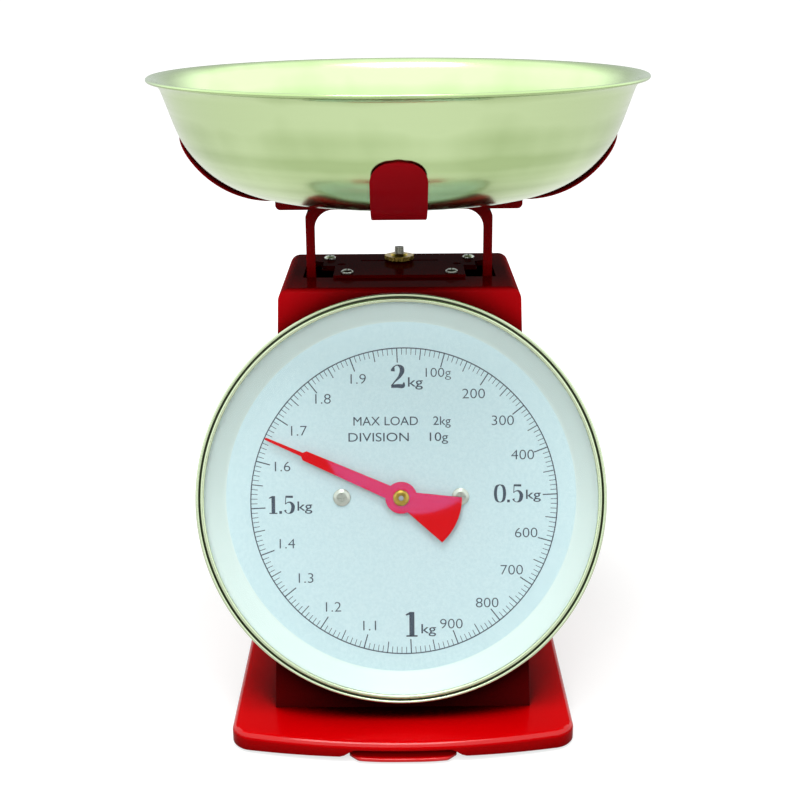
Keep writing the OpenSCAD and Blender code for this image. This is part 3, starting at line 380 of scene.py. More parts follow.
# Painted shade on the front's foot, which stands behind the dial's lower edge in its shadow: where the case faces
# forward, its tone darkens towards the bottom, to a fifth below 0.06 m
place = add(tree, "ShaderNodeTexCoord")
where = add(tree, "ShaderNodeSeparateXYZ", {0: place.outputs["Object"]})
facing = add(tree, "ShaderNodeSeparateXYZ", {0: place.outputs["Normal"]})
foot_shade = add(tree, "ShaderNodeMapRange", {
    "Value": where.outputs["Z"], "From Min": 0.06, "From Max": 0.1, "To Min": 0.2, "To Max": 1.0})
elsewhere = add(tree, "ShaderNodeMath", {0: facing.outputs["Y"], 1: -0.5}, operation="GREATER_THAN")
coat = add(tree, "ShaderNodeMath", {0: foot_shade.outputs[0], 1: elsewhere.outputs[0]}, operation="MAXIMUM")
wear_and_painted_shade = add(tree, "ShaderNodeVectorMath", {0: shaded_tone.outputs[0], 1: coat.outputs[0]}, operation="MULTIPLY")
tree.links.new(wear_and_painted_shade.outputs[0], body.inputs["Base Color"])
finish("case_shell", case_enamel, 0.35)
finish("rear_cover", case_enamel, 0.3)

# Zinc-plated steel: pale and slightly warm, with a fine blotchy crystal in its shine
zinc, tree = new_material("zinc_plated_steel")
crystal = noise(tree, 1400.0, 3.0)
shine = add(tree, "ShaderNodeMapRange", {"Value": crystal.outputs["Fac"], "To Min": 0.22, "To Max": 0.42})
body = add(tree, "ShaderNodeBsdfPrincipled", {
    "Base Color": linear("#A9ADA4"), "Metallic": 1.0, "Roughness": shine.outputs[0]})
add(tree, "ShaderNodeOutputMaterial", {"Surface": body.outputs[0]})
finish("case_screws", zinc, 0.15)
finish("cover_screws", zinc, 0.15)

# ---- Hanger plate ----
# The stiffener on the case's roof, with the case's enamel on it.
finish("hanger_plate", case_enamel, 0.3)
finish("hanger_screws", zinc, 0.15)

# ---- Dial pan ----
# A white-enamelled steel dish behind the card, whose wall flares out to the bezel.
tilt = math.radians(16)
dial_y, dial_z = -60.672, 108.924


def on_dial(xyz):
    """Points given on the dial, with x across, y up the slope and z out of it, turned back by the slope."""
    x, y, z = xyz[..., 0], xyz[..., 1], xyz[..., 2]
    return np.stack([x, dial_y + y * math.sin(tilt) - z * math.cos(tilt),
                     dial_z + y * math.cos(tilt) + z * math.sin(tilt)], -1)


def off_dial(xyz):
    """The way back from on_dial."""
    x, up, out = xyz[..., 0], xyz[..., 2] - dial_z, xyz[..., 1] - dial_y
    return np.stack([x, out * math.sin(tilt) + up * math.cos(tilt), up * math.sin(tilt) - out * math.cos(tilt)], -1)


def turned(profile, steps):
    """A profile of (radius, height) points carried round an axis: x = r cos a, y = r sin a, z = height."""
    profile = np.asarray(profile, float)
    a = np.linspace(0, 2 * math.pi, steps, endpoint=False)
    return np.stack([profile[:, None, 0] * np.cos(a), profile[:, None, 0] * np.sin(a),
                     np.repeat(profile[:, None, 1], steps, 1)], -1)


def rounded(corners, radii, steps=6):
    """A path whose inner corners are cut by arcs: each corner of radius r starts and ends at the same distance
    along its two sides, and a quadratic curve joins them."""
    corners = np.asarray(corners, float)
    out = [corners[:1]]
    t = np.linspace(0, 1, steps)[:, None]
    for before, at, after, r in zip(corners[:-2], corners[1:-1], corners[2:], radii):
        a = at + (before - at) * min(r / np.linalg.norm(before - at), 0.5)
        b = at + (after - at) * min(r / np.linalg.norm(after - at), 0.5)
        out.append((1 - t) ** 2 * a + 2 * t * (1 - t) * at + t ** 2 * b)
    out.append(corners[-1:])
    return np.concatenate(out)


front = rounded([(0, 0.8), (85.0, 0.8), (94.2, 9.5), (96.4, 9.8)], [2.2, 1.4])
rear = rounded([(96.4, 9.0), (94.8, 8.8), (85.4, 0.1), (0, 0.0)], [1.4, 2.2])
dish = surface("white_dial_pan", on_dial(turned(np.concatenate([front, rear]), 192)), wrap_columns=True)
white, tree = new_material("white_enamel")
ripple = noise(tree, 260.0, 2.0)
bump = add(tree, "ShaderNodeBump", {"Height": ripple.outputs["Fac"], "Strength": 0.08, "Distance": 0.0002})
body = add(tree, "ShaderNodeBsdfPrincipled", {
    "Base Color": linear("#D6E8E3"), "Roughness": 0.3, "IOR": 1.4, "Normal": bump.outputs[0]})
add(tree, "ShaderNodeOutputMaterial", {"Surface": body.outputs[0]})
dish.data.materials.append(white)
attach(dish, "case")
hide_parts("dial_pan")

# ---- Dial card ----
# A stiff printed card, pale blue and semi-matt, with its scale and figures in dark blue ink.
card, tree = new_material("printed_card")
fibre = noise(tree, 700.0, 4.0)
tone = ramp(tree, fibre.outputs["Fac"], 0.35, "#C3DEE3", 0.65, "#CBE4E8")
bump = add(tree, "ShaderNodeBump", {"Height": fibre.outputs["Fac"], "Strength": 0.1, "Distance": 0.0001})
body = add(tree, "ShaderNodeBsdfPrincipled", {
    "Base Color": tone.outputs[0], "Roughness": 0.6, "IOR": 1.4, "Normal": bump.outputs[0]})
add(tree, "ShaderNodeOutputMaterial", {"Surface": body.outputs[0]})
finish("dial_card", card, 0)

ink, tree = new_material("printing_ink")
spread = noise(tree, 900.0, 2.0)
tone = ramp(tree, spread.outputs["Fac"], 0.0, "#2B3440", 1.0, "#44505E")
body = add(tree, "ShaderNodeBsdfPrincipled", {"Base Color": tone.outputs[0], "Roughness": 0.55})
add(tree, "ShaderNodeOutputMaterial", {"Surface": body.outputs[0]})

# The card is printed a little off square and off centre, and its words not quite where its scale is
card_turn, print_x, print_y, word_y = math.radians(2.35), 1.4, -2.1, -1.2
print_z = 1.34
steps_round, ring_r, ring_sides = 200, 74.4, 360
per_step = 2 * math.pi / steps_round  # 200 steps of 10 g make the 2 kg turn
step = np.arange(steps_round)
# Ticks of three lengths and widths: at every 100 g, at every 50 g and at every 10 g
reach = ring_r - np.where(step % 10 == 0, 7.0, np.where(step % 5 == 0, 5.4, 3.2))
wide = np.where(step % 10 == 0, 0.27, np.where(step % 5 == 0, 0.22, 0.15))
angle = math.pi / 2 - step * per_step + card_turn
away = np.stack([np.cos(angle), np.sin(angle)], -1)
beside = np.stack([-np.sin(angle), np.cos(angle)], -1)
corners = np.stack([
    away * reach[:, None] - beside * wide[:, None], away * reach[:, None] + beside * wide[:, None],
    away * ring_r + beside * wide[:, None], away * ring_r - beside * wide[:, None]], 1)
ticks = np.concatenate([corners + [print_x, print_y], np.full((steps_round, 4, 1), print_z)], -1).reshape(-1, 3)
ring_turn = np.linspace(0, 2 * math.pi, ring_sides, endpoint=False)
ring_points = np.concatenate([
    np.stack([r * np.cos(ring_turn) + print_x, r * np.sin(ring_turn) + print_y,
              np.full(ring_sides, print_z + 0.01)], -1)
    for r in (ring_r - 0.25, ring_r + 0.3)])
here = np.arange(ring_sides)
after = (here + 1) % ring_sides
inner_ring, outer_ring = len(ticks), len(ticks) + ring_sides
faces = np.concatenate([
    np.arange(len(ticks)).reshape(steps_round, 4),
    np.stack([inner_ring + here, outer_ring + here, outer_ring + after, inner_ring + after], -1)])
scale_mesh = bpy.data.meshes.new("dial_scale")
scale_mesh.from_pydata((on_dial(np.concatenate([ticks, ring_points])) / 1000).tolist(), [], faces.tolist())
scale_mesh.materials.append(ink)
dial_scale = bpy.data.objects.new("dial_scale", scale_mesh)
scene.collection.objects.link(dial_scale)
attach(dial_scale, "case")

# ---- Figures ----
# The weights printed inside the scale, all upright, with larger figures at the half kilograms.
figures = bmesh.new()


def print_figure(words, x, y, height, weight=0.0, widen=1.0):
    """Puts words on the card, centred at (x, y) and `height` tall, in millimetres, as flat faces."""
    letter = bpy.data.curves.new("letters", "FONT")
    letter.body = words
    letter.offset = weight
    letter.resolution_u = 6
    written = bpy.data.objects.new("letters", letter)
    scene.collection.objects.link(written)
    flat = bpy.data.meshes.new_from_object(written.evaluated_get(bpy.context.evaluated_depsgraph_get()))
    spots = np.empty(len(flat.vertices) * 3)
    flat.vertices.foreach_get("co", spots)
    spots = spots.reshape(-1, 3)
    low, high = spots.min(0), spots.max(0)
    factor = height / (high[1] - low[1])
    middle = (low + high) / 2
    spots = (spots - middle) * [factor * widen, factor, 0] + [x, y, print_z + 0.02]
    flat.vertices.foreach_set("co", (on_dial(spots) / 1000).ravel())
    figures.from_mesh(flat)
    bpy.data.objects.remove(written)
    bpy.data.meshes.remove(flat)


def pen(strokes, x, y, height):
    """Draws one figure with a broad pen. It stands on y = 0 with a height of 1 and is centred on x. Each stroke is
    a list of knots (x, y, half width), joined by a smooth curve and drawn as a ribbon square to it."""
    for knots in strokes:
        knots = np.array(knots, float)
        if len(knots) > 2:
            padded = np.concatenate([2 * knots[:1] - knots[1:2], knots, 2 * knots[-1:] - knots[-2:-1]])
            t = np.linspace(0, 1, 9)[:-1, None]
            curve = [0.5 * (2 * b + (c - a) * t + (2 * a - 5 * b + 4 * c - d) * t ** 2
                            + (3 * b - a - 3 * c + d) * t ** 3)
                     for a, b, c, d in zip(padded[:-3], padded[1:-2], padded[2:-1], padded[3:])]
            knots = np.concatenate(curve + [knots[-1:]])
        way = np.gradient(knots[:, :2], axis=0)
        way /= np.linalg.norm(way, axis=1, keepdims=True)
        across = np.stack([-way[:, 1], way[:, 0]], -1) * np.maximum(knots[:, 2:], 0.012)
        sides = np.stack([knots[:, :2] + across, knots[:, :2] - across], 1) * height
        spots = np.concatenate([sides + [x, y - height / 2], np.full((*sides.shape[:2], 1), print_z + 0.02)], -1)
        corners = [[figures.verts.new(on_dial(spot) / 1000) for spot in pair] for pair in spots]
        for one, two in zip(corners[:-1], corners[1:]):
            figures.faces.new((one[0], one[1], two[1], two[0]))


# Bold figures with thick and thin strokes, for the half kilograms
BOLD = {
    "0": [[(0.0, 0.985, 0.02), (0.19, 0.86, 0.07), (0.25, 0.5, 0.085), (0.19, 0.14, 0.07), (0.0, 0.015, 0.02),
           (-0.19, 0.14, 0.07), (-0.25, 0.5, 0.085), (-0.19, 0.86, 0.07), (0.0, 0.985, 0.02)]],
    "1": [[(0.02, 0.98, 0.1), (0.02, 0.02, 0.1)], [(-0.2, 0.025, 0.03), (0.24, 0.025, 0.03)],
          [(-0.22, 0.86, 0.025), (-0.04, 0.93, 0.05)]],
    "2": [[(-0.2, 0.72, 0.085), (-0.19, 0.8, 0.08), (-0.13, 0.93, 0.025), (0.02, 0.985, 0.03),
           (0.18, 0.88, 0.09), (0.2, 0.7, 0.1), (0.08, 0.47, 0.06), (-0.12, 0.26, 0.03), (-0.26, 0.08, 0.03)],
          [(-0.27, 0.07, 0.07), (0.0, 0.08, 0.08), (0.24, 0.08, 0.085), (0.29, 0.24, 0.02)]],
    "5": [[(-0.17, 0.94, 0.055), (0.22, 0.93, 0.06)], [(-0.17, 0.98, 0.022), (-0.2, 0.52, 0.022)],
          [(-0.2, 0.53, 0.02), (-0.08, 0.62, 0.025), (0.08, 0.62, 0.05), (0.2, 0.48, 0.09), (0.22, 0.32, 0.1),
           (0.15, 0.11, 0.08), (-0.02, 0.015, 0.02), (-0.17, 0.08, 0.03), (-0.22, 0.2, 0.07)]],
    ".": [[(0.0, 0.0, 0.075), (0.0, 0.15, 0.075)]],
}

# Each figure's step in hundreds of grams, its words, and how far it stands from the middle
for count, words, from_middle in (
    (1, "100g", 63.2), (2, "200", 61.5), (3, "300", 61.4), (4, "400", 61.5), (6, "600", 61.5), (7, "700", 62.6),
    (8, "800", 64.6), (9, "900", 64.9), (11, "1.1", 63.9), (12, "1.2", 62.7), (13, "1.3", 61.2),
    (14, "1.4", 60.7), (16, "1.6", 61.1), (17, "1.7", 60.9), (18, "1.8", 62.7), (19, "1.9", 62.6)):
    a = math.pi / 2 - count * 10 * per_step + card_turn
    print_figure(words, from_middle * math.cos(a) + print_x, from_middle * math.sin(a) + word_y,
                 5.8 if count == 1 else 4.7, -0.01, 1.12)
for digits, unit_at, height in (
    ((("2", -2.8, 59.8),), (5.9, 56.3), 11.1), ((("1", 3.1, -60.9),), (11.5, -64.0), 12.3),
    ((("0", 46.6, 2.6), (".", 50.7, 2.6), ("5", 55.0, 2.6)), (62.8, 1.3), 8.8),
    ((("1", -63.7, -2.1), (".", -60.0, -2.1), ("5", -55.9, -2.1)), (-48.2, -3.6), 8.8)):
    for digit, x, y in digits:
        pen(BOLD[digit], x + print_x, y + word_y, height)
    print_figure("kg", unit_at[0] + print_x, unit_at[1] + word_y, 6.0, 0.004, 1.3)
print_figure("MAX LOAD    2kg", print_x - 0.7, 37.5 + word_y, 5.6, 0.0, 1.02)
print_figure("DIVISION    10g", print_x - 2.6, 29.7 + word_y, 5.6, 0.0, 1.2)
figure_mesh = bpy.data.meshes.new("dial_figures")
figures.to_mesh(figure_mesh)
figures.free()
figure_mesh.materials.clear()
figure_mesh.materials.append(ink)
dial_figures = bpy.data.objects.new("dial_figures", figure_mesh)
scene.collection.objects.link(dial_figures)
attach(dial_figures, "case")

# ---- Dial screws ----
# Two plated pan-head screws through the card, which hold the movement behind it.
finish("dial_screws", zinc, 0.15)

# ---- Lens and gasket ----
# A domed clear styrene window on a white rubber ring. It shows a faint white shine and no tint.
seal, tree = new_material("white_rubber")
grain = noise(tree, 800.0, 2.0)
bump = add(tree, "ShaderNodeBump", {"Height": grain.outputs["Fac"], "Strength": 0.2, "Distance": 0.0001})
body = add(tree, "ShaderNodeBsdfPrincipled", {
    "Base Color": linear("#E9EAE4"), "Roughness": 0.6, "Normal": bump.outputs[0]})
add(tree, "ShaderNodeOutputMaterial", {"Surface": body.outputs[0]})
finish("lens_gasket", seal, 0)

dome_r, dome_rise, lens_r, lens_back, lens_face = 93, 2.5, 96.3, 10.35, 11.75
radius = np.linspace(0, dome_r, 24)
dome = dome_rise * (1 - (radius / dome_r) ** 2)
inner = np.stack([radius, lens_back + dome], -1)
outer = np.stack([radius[::-1], lens_face + dome[::-1]], -1)
lens_edge = [(lens_r, lens_back), (lens_r, lens_face)]
lens = surface("clear_lens", on_dial(turned(np.concatenate([inner, lens_edge, outer]), 128)), wrap_columns=True)
clear, tree = new_material("clear_styrene")
through = add(tree, "ShaderNodeBsdfTransparent", {"Color": (1, 1, 1, 1)})
gloss = add(tree, "ShaderNodeBsdfGlossy", {"Color": (1, 1, 1, 1), "Roughness": 0.06})
edge_on = add(tree, "ShaderNodeFresnel", {"IOR": 1.45})
less = add(tree, "ShaderNodeMath", {0: edge_on.outputs[0], 1: 0.15}, operation="MULTIPLY")
mixed = add(tree, "ShaderNodeMixShader", {0: less.outputs[0], 1: through.outputs[0], 2: gloss.outputs[0]})
add(tree, "ShaderNodeOutputMaterial", {"Surface": mixed.outputs[0]})
lens.data.materials.append(clear)
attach(lens, "case")
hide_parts("dial_lens")

# ---- Bezel ----
# A rolled aluminium ring with two beads and a groove between them, brushed round and anodised a pale
# champagne. The groove's dark is painted shade.
bead = np.linspace(0, math.pi, 17)
groove_out, groove_in, groove_z, bead_top = 96.7, 96.05, 10.8, 12.2
profile = np.concatenate([
    [(95.3, 8.05), (97.6, 8.0), (98.25, 8.5), (98.3, 9.4)],
    np.stack([97.5 + 0.8 * np.cos(bead), 12.05 + 0.9 * np.sin(bead)], -1),
    [(groove_out, groove_z), (groove_in, groove_z)],
    np.stack([95.07 + 0.97 * np.cos(bead), 12.15 + 0.8 * np.sin(bead)], -1),
    [(94.1, 11.8), (96.0, 11.8), (96.0, 10.6), (96.6, 9.0), (95.3, 8.95)],
])
bezel = surface("rolled_bezel", on_dial(turned(np.concatenate([profile, profile[:1]]), 256)), wrap_columns=True,
                sharp=55)
anodised, tree = new_material("anodised_aluminium")
swirl = noise(tree, 60.0, 2.0)
shine = add(tree, "ShaderNodeMapRange", {"Value": swirl.outputs["Fac"], "To Min": 0.24, "To Max": 0.3})
body = add(tree, "ShaderNodeBsdfPrincipled", {
    "Base Color": linear("#AFB99C"), "Metallic": 1.0, "Roughness": shine.outputs[0]})
add(tree, "ShaderNodeOutputMaterial", {"Surface": body.outputs[0]})
# Painted shade: the groove's faces take a dark metal that stands for the shade in it, mottled a little
groove_shade_metal, tree = new_material("painted_groove_shade")
groove_shade_mottle = noise(tree, 90.0, 2.0)
tone = ramp(tree, groove_shade_mottle.outputs["Fac"], 0.0, "#31352A", 1.0, "#4A4E40")
body = add(tree, "ShaderNodeBsdfPrincipled", {"Base Color": tone.outputs[0], "Metallic": 1.0, "Roughness": 0.4})
add(tree, "ShaderNodeOutputMaterial", {"Surface": body.outputs[0]})
bezel.data.materials.append(anodised)
bezel.data.materials.append(groove_shade_metal)
ring_spots = off_dial(np.array([vertex.co[:] for vertex in bezel.data.vertices]) * 1000)
from_middle, above = np.hypot(ring_spots[:, 0], ring_spots[:, 1]), ring_spots[:, 2]
in_groove = (from_middle > groove_in - 0.02) & (from_middle < groove_out + 0.02) & (above < bead_top)
for face in bezel.data.polygons:
    face.material_index = int(in_groove[list(face.vertices)].all())
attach(bezel, "case")
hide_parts("bezel_ring")

# ---- Movement ----
# The bridge, bushes, pinion and rack behind the dial: plain mild steel and turned brass, with a nylon guide.
mild, tree = new_material("plain_mild_steel")
scale_marks = noise(tree, 420.0, 5.0)
shine = add(tree, "ShaderNodeMapRange", {"Value": scale_marks.outputs["Fac"], "To Min": 0.28, "To Max": 0.5})
body = add(tree, "ShaderNodeBsdfPrincipled", {
    "Base Color": linear("#9B9EA1"), "Metallic": 1.0, "Roughness": shine.outputs[0]})
add(tree, "ShaderNodeOutputMaterial", {"Surface": body.outputs[0]})
brass, tree = new_material("turned_brass")
tooling = noise(tree, 520.0, 4.0)
tone = ramp(tree, tooling.outputs["Fac"], 0.3, "#8C7430", 0.7, "#B59A4C")
shine = add(tree, "ShaderNodeMapRange", {"Value": tooling.outputs["Fac"], "To Min": 0.22, "To Max": 0.4})
body = add(tree, "ShaderNodeBsdfPrincipled", {
    "Base Color": tone.outputs[0], "Metallic": 1.0, "Roughness": shine.outputs[0]})
add(tree, "ShaderNodeOutputMaterial", {"Surface": body.outputs[0]})
nylon, tree = new_material("natural_nylon")
grain = noise(tree, 600.0, 2.0)
bump = add(tree, "ShaderNodeBump", {"Height": grain.outputs["Fac"], "Strength": 0.1, "Distance": 0.0001})
body = add(tree, "ShaderNodeBsdfPrincipled", {
    "Base Color": linear("#DCD8C8"), "Roughness": 0.5, "Subsurface Weight": 0.1, "Normal": bump.outputs[0]})
add(tree, "ShaderNodeOutputMaterial", {"Surface": body.outputs[0]})
for node in ("movement_bracket", "pointer_shaft", "shaft_collar", "rack_pin", "upper_pivot_rod", "lower_pivot_rod"):
    finish(node, mild, 0.1)
for node in ("front_bush", "rear_bush"):
    finish(node, brass, 0.1)
for node in ("pinion", "rack"):
    finish(node, brass, 0)
finish("rack_guide", nylon, 0.3)

# ---- Pointer ----
# A stamped steel hand with a fan-shaped counterweight, sprayed bright red, on a brass hub under a brass nut.
hand, tree = new_material("red_hand_enamel")
ripple = noise(tree, 500.0, 2.0)
bump = add(tree, "ShaderNodeBump", {"Height": ripple.outputs["Fac"], "Strength": 0.08, "Distance": 0.0001})
body = add(tree, "ShaderNodeBsdfPrincipled", {
    "Base Color": linear("#D8040E"), "Roughness": 0.3, "Specular IOR Level": 0.0, "Coat Weight": 1.0,
    "Coat Roughness": 0.03, "Normal": bump.outputs[0]})
add(tree, "ShaderNodeOutputMaterial", {"Surface": body.outputs[0]})
finish("pointer", hand, 0.12)
# The window's blue falls on the hand's gloss alone
window_lit = bpy.data.collections.new("window_lit")
window_lit.objects.link(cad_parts["pointer"])
bpy.data.objects["window"].light_linking.receiver_collection = window_lit
finish("pointer_hub", brass, 0.1)
finish("pointer_nut", brass, 0.15)

# ---- Platform ----
# The pressed carriage that rides up and down in the case: red above, with plain steel cross plates, rivets
# and pins inside.
finish("carriage_frame", case_enamel, 0.45, 3)
for node in ("spring_yoke", "rack_bracket", "carriage_rivets", "link_pins"):
    finish(node, mild, 0.15)

# ---- Parallel links ----
# Two plain steel frames, one above the other, that keep the platform upright.
finish("upper_link", mild, 0.2)
finish("lower_link", mild, 0.2)

# ---- Zero adjuster ----
# A knurled brass nut on the roof, a slotted steel screw through it, and the strip that the springs hang from.
finish("zero_nut", brass, 0.12)
dull, tree = new_material("oiled_screw_steel")
oil = noise(tree, 700.0, 3.0)
shine = add(tree, "ShaderNodeMapRange", {"Value": oil.outputs["Fac"], "To Min": 0.25, "To Max": 0.45})
body = add(tree, "ShaderNodeBsdfPrincipled", {
    "Base Color": linear("#6E6C62"), "Metallic": 1.0, "Roughness": shine.outputs[0]})
add(tree, "ShaderNodeOutputMaterial", {"Surface": body.outputs[0]})
finish("zero_screw", dull, 0.12)
finish("spring_hanger", mild, 0.2)

# ---- Springs ----
# Two close-wound extension springs of hard-drawn wire, hooked between the hanger and the platform's foot.
# They are made at rest; the real springs stretch as the platform goes down.
spring_low, spring_high = 51.3, 192.8
wire_r, coil_mid, coils, coil_points = 0.6, 6.0, 18, 24
spring_y, hook_room = 22.15, 12
around = np.linspace(0, 1, coils * coil_points + 1)
spiral = around * coils * 2 * math.pi
taper = np.clip(np.minimum(around, 1 - around) * coils / 0.8, 0, 1)
rise = spring_low + hook_room + (spring_high - spring_low - 2 * hook_room) * around
helix = np.stack([coil_mid * taper * np.cos(spiral), coil_mid * taper * np.sin(spiral), rise], -1)
hook_low = np.array([(0, -2.6, spring_low - 0.75), (0, -1.4, spring_low - 0.75), (0, -0.5, spring_low - 0.5),
                     (0, 0, spring_low + 0.5), (0, 0, spring_low + 5), (0, 0, spring_low + 9.5)])
# The upper hooks stand clear of the hanger by the height that it can rise
hook_high = np.array([(0, 0, spring_high - 9.5), (0, 0, spring_high - 5), (0, 0, spring_high + 1.2),
                      (0, -0.5, spring_high + 1.75), (0, -1.4, spring_high + 1.95), (0, -2.6, spring_high + 1.95)])
line = np.concatenate([hook_low, helix, hook_high])


def wire_along(path, r, sides):
    """A round wire: at each point of the path a ring of radius r stands square to it, its first spoke being the
    coil's own outward direction made square to the path."""
    along = np.gradient(path, axis=0)
    along /= np.linalg.norm(along, axis=1, keepdims=True)
    spoke = np.cross(along, np.array([0.13, 0.31, 0.94]))
    spoke /= np.linalg.norm(spoke, axis=1, keepdims=True)
    other = np.cross(along, spoke)
    a = np.linspace(0, 2 * math.pi, sides, endpoint=False)
    ring = np.cos(a)[None, :, None] * spoke[:, None] + np.sin(a)[None, :, None] * other[:, None]
    tube = path[:, None] + r * ring
    ends = np.repeat(path[[0, -1]][:, None], sides, 1)
    return np.concatenate([ends[:1], tube, ends[1:]])


for side_name, x in (("left", -12.0), ("right", 12.0)):
    spring = surface(side_name + "_spring_wire", wire_along(line + [x, spring_y, 0], wire_r, 8), wrap_columns=True)
    spring.data.materials.append(mild)
    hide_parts(side_name + "_spring")
    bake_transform(spring)

# ---- Pan support ----
# Four arms of 1.2 mm red sheet under the pan, turned up along its wall, with rounded tips. Their red is painted
# darker than the case's as painted shade under the pan, and their recesses take less painted shade.
shaded_arm_enamel = red_enamel("painted_shade_arm_enamel", ("#8C0A12", "#9A0C16"), 20.0, 0.08, "#B87078", 0.8, deep_gloss)[0]
seat, clear, rest_gap = 246.3, 2.6, 0.05
floor_r, bend_r = 61.59, 50.0
arm_w, arm_t, arm_flat, arm_rise = 25.0, 1.2, 63.0, 30.6
grip = bend_r + rest_gap
tip_r = floor_r + grip * math.sin(math.acos((bend_r + clear - arm_rise) / grip))
curve_r = ((tip_r - arm_flat) ** 2 + arm_rise ** 2) / (2 * arm_rise)
sweep = np.linspace(0, math.acos(1 - arm_rise / curve_r), 27)[1:]
bow_r, bow_z = arm_flat + curve_r * np.sin(sweep), curve_r * (1 - np.cos(sweep))
run = np.concatenate([np.linspace(0, arm_flat - 2, 12), [arm_flat]])
path_r = np.concatenate([run, bow_r])
path_z = np.concatenate([np.zeros(len(run)), bow_z])
length = np.concatenate([[0], np.cumsum(np.hypot(np.diff(path_r), np.diff(path_z)))])
# The tip is rounded over its last 11.5 mm, where the points along the arm stand closer
tip_start, tip_close, tip_power = length[-1] - 11.5, 13.0, 2.3
fine = np.unique(np.concatenate([
    np.linspace(0, length[-1] - tip_close, 40),
    length[-1] - tip_close * np.cos(np.linspace(0, math.pi / 2, 22))]))
r_at, z_at = np.interp(fine, length, path_r), np.interp(fine, length, path_z)
left_over = np.clip((fine - tip_start) / (length[-1] - tip_start), 0, 1)
half = arm_w / 2 * np.clip(1 - left_over ** tip_power, 0, 1) ** (1 / tip_power)
half = np.maximum(half, 0.02)
slope = np.stack([np.gradient(r_at, fine), np.gradient(z_at, fine)], -1)
slope /= np.linalg.norm(slope, axis=1, keepdims=True)
down_r, down_z = slope[:, 1], -slope[:, 0]
# Across the sheet: a flat with small round edges, as a stadium of width 2 * half and height arm_t
lobe_points = 7
lobe = np.linspace(-math.pi / 2, math.pi / 2, lobe_points)
ring_t = np.concatenate([np.cos(lobe) * 0.5, -np.cos(lobe) * 0.5])
ring_d = np.concatenate([np.sin(lobe), -np.sin(lobe)])
ring_side = np.concatenate([np.ones(lobe_points), -np.ones(lobe_points)])
arms = []
for quarter in range(4):
    keep = fine >= (0 if quarter % 2 == 0 else arm_w / 2)
    edge_r = np.minimum(arm_t, half[keep] * 0.9)
    t = ring_side[None] * np.maximum(half[keep][:, None] - edge_r[:, None] * 0.5, 0) + ring_t[None] * edge_r[:, None]
    d = arm_t / 2 * (1 + ring_d[None])
    out = r_at[keep][:, None] + down_r[keep][:, None] * d
    up = z_at[keep][:, None] + down_z[keep][:, None] * d
    strip = np.stack([out, t * np.ones_like(out), up + seat], -1)
    middle = strip.mean(1, keepdims=True)
    # Each end closes on a point
    strip = np.concatenate([np.repeat(middle[:1], 2 * lobe_points, 1), strip,
                            np.repeat(middle[-1:], 2 * lobe_points, 1)])
    a = quarter * math.pi / 2
    c, s = round(math.cos(a)), round(math.sin(a))
    strip = np.stack([strip[..., 0] * c - strip[..., 1] * s, strip[..., 0] * s + strip[..., 1] * c + pan_y,
                      strip[..., 2]], -1)
    arms.append(surface("support_arm_" + str(quarter + 1), strip, wrap_columns=True, sharp=60))
for arm in arms:
    arm.data.materials.append(shaded_arm_enamel)
    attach(arm, "platform")
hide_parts("pan_support")
finish("support_rivets", mild, 0.1)

# ---- Pan ----
# Spun from one disc of 0.7 mm stainless steel: a flat floor, one long curve, a straight flared wall and a
# sloping rim with a rolled edge. The spinning leaves fine rings round it.
lean = math.radians(19)
rim_r, depth, rim_w, rim_rise, sheet_t, roll_r = 120.35, 56.0, 5.0, 3.3, 0.7, 0.95
wall_r = rim_r - rim_w
bow = np.linspace(0, math.pi / 2 - lean, 30)
curve = np.stack([floor_r + bend_r * np.sin(bow), bend_r * (1 - np.cos(bow))], -1)
outside = np.concatenate([
    [(0, 0), (floor_r * 0.5, 0)], curve,
    rounded([curve[-1] + (0.4, 1.0), (wall_r, depth - rim_rise), (rim_r, depth)], [3.0])])
tangent = np.gradient(outside, axis=0)
tangent /= np.linalg.norm(tangent, axis=1, keepdims=True)
inside = outside + sheet_t * np.stack([-tangent[:, 1], tangent[:, 0]], -1)
inside[0, 0] = 0
curl = np.linspace(-0.35 * math.pi, 1.05 * math.pi, 12)
roll = np.stack([rim_r + 0.05 + roll_r * np.cos(curl), depth - 0.55 + roll_r * np.sin(curl)], -1)
roll = roll[roll[:, 0] > rim_r - 0.4]
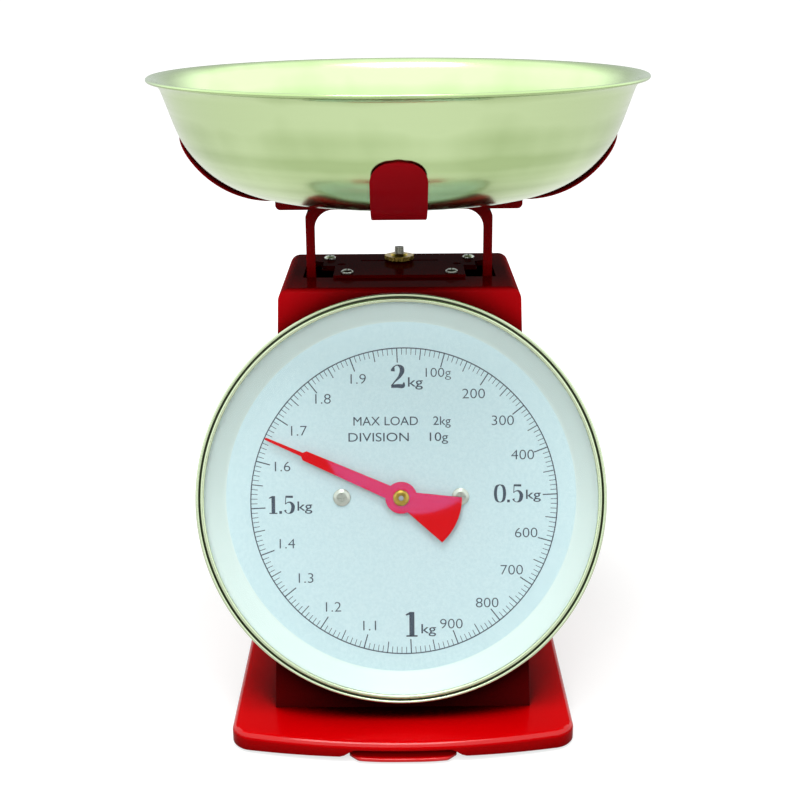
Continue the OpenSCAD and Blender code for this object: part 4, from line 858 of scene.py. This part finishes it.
profile = np.concatenate([outside[:-1], roll, inside[::-1][1:]])
pan = surface("spun_pan", turned(profile, 256) + [0, pan_y, seat + clear], wrap_columns=True, sharp=60)
stainless, tree = new_material("spun_stainless_steel")
place = add(tree, "ShaderNodeTexCoord")
centred = add(tree, "ShaderNodeMapping", {"Vector": place.outputs["Object"], "Location": (0, -pan_y / 1000, 0),
                                          "Scale": (1, 1, 0)})
from_axis = add(tree, "ShaderNodeVectorMath", {0: centred.outputs[0]}, operation="LENGTH")
rings_tex = add(tree, "ShaderNodeTexNoise", {"W": from_axis.outputs["Value"], "Scale": 1500.0, "Detail": 3.0},
                noise_dimensions="1D")
bands = add(tree, "ShaderNodeTexNoise", {"W": from_axis.outputs["Value"], "Scale": 120.0, "Detail": 2.0},
            noise_dimensions="1D")
# Handling has dulled it in soft patches that run up the wall
stretched = add(tree, "ShaderNodeMapping", {"Vector": place.outputs["Object"], "Scale": (22, 22, 5)})
wear_and_painted_shade = add(tree, "ShaderNodeTexNoise", {"Vector": stretched.outputs[0], "Scale": 1.0, "Detail": 3.0})
mottled = add(tree, "ShaderNodeMath", {0: bands.outputs["Fac"], 1: wear_and_painted_shade.outputs["Fac"]}, operation="ADD")
halved = add(tree, "ShaderNodeMath", {0: mottled.outputs[0], 1: 0.5}, operation="MULTIPLY")
tone = ramp(tree, halved.outputs[0], 0.38, "#9DB17E", 0.62, "#B5C798")
shine = add(tree, "ShaderNodeMapRange", {"Value": rings_tex.outputs["Fac"], "To Min": 0.13, "To Max": 0.24})
bump = add(tree, "ShaderNodeBump", {"Height": rings_tex.outputs["Fac"], "Strength": 0.06, "Distance": 0.0001})
body = add(tree, "ShaderNodeBsdfPrincipled", {
    "Base Color": tone.outputs[0], "Metallic": 1.0, "Roughness": shine.outputs[0], "Normal": bump.outputs[0]})
add(tree, "ShaderNodeOutputMaterial", {"Surface": body.outputs[0]})
pan.data.materials.append(stainless)
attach(pan, "weighing_pan")
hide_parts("pan")

# ---- Colour management ----
scene.view_settings.view_transform = "Standard"
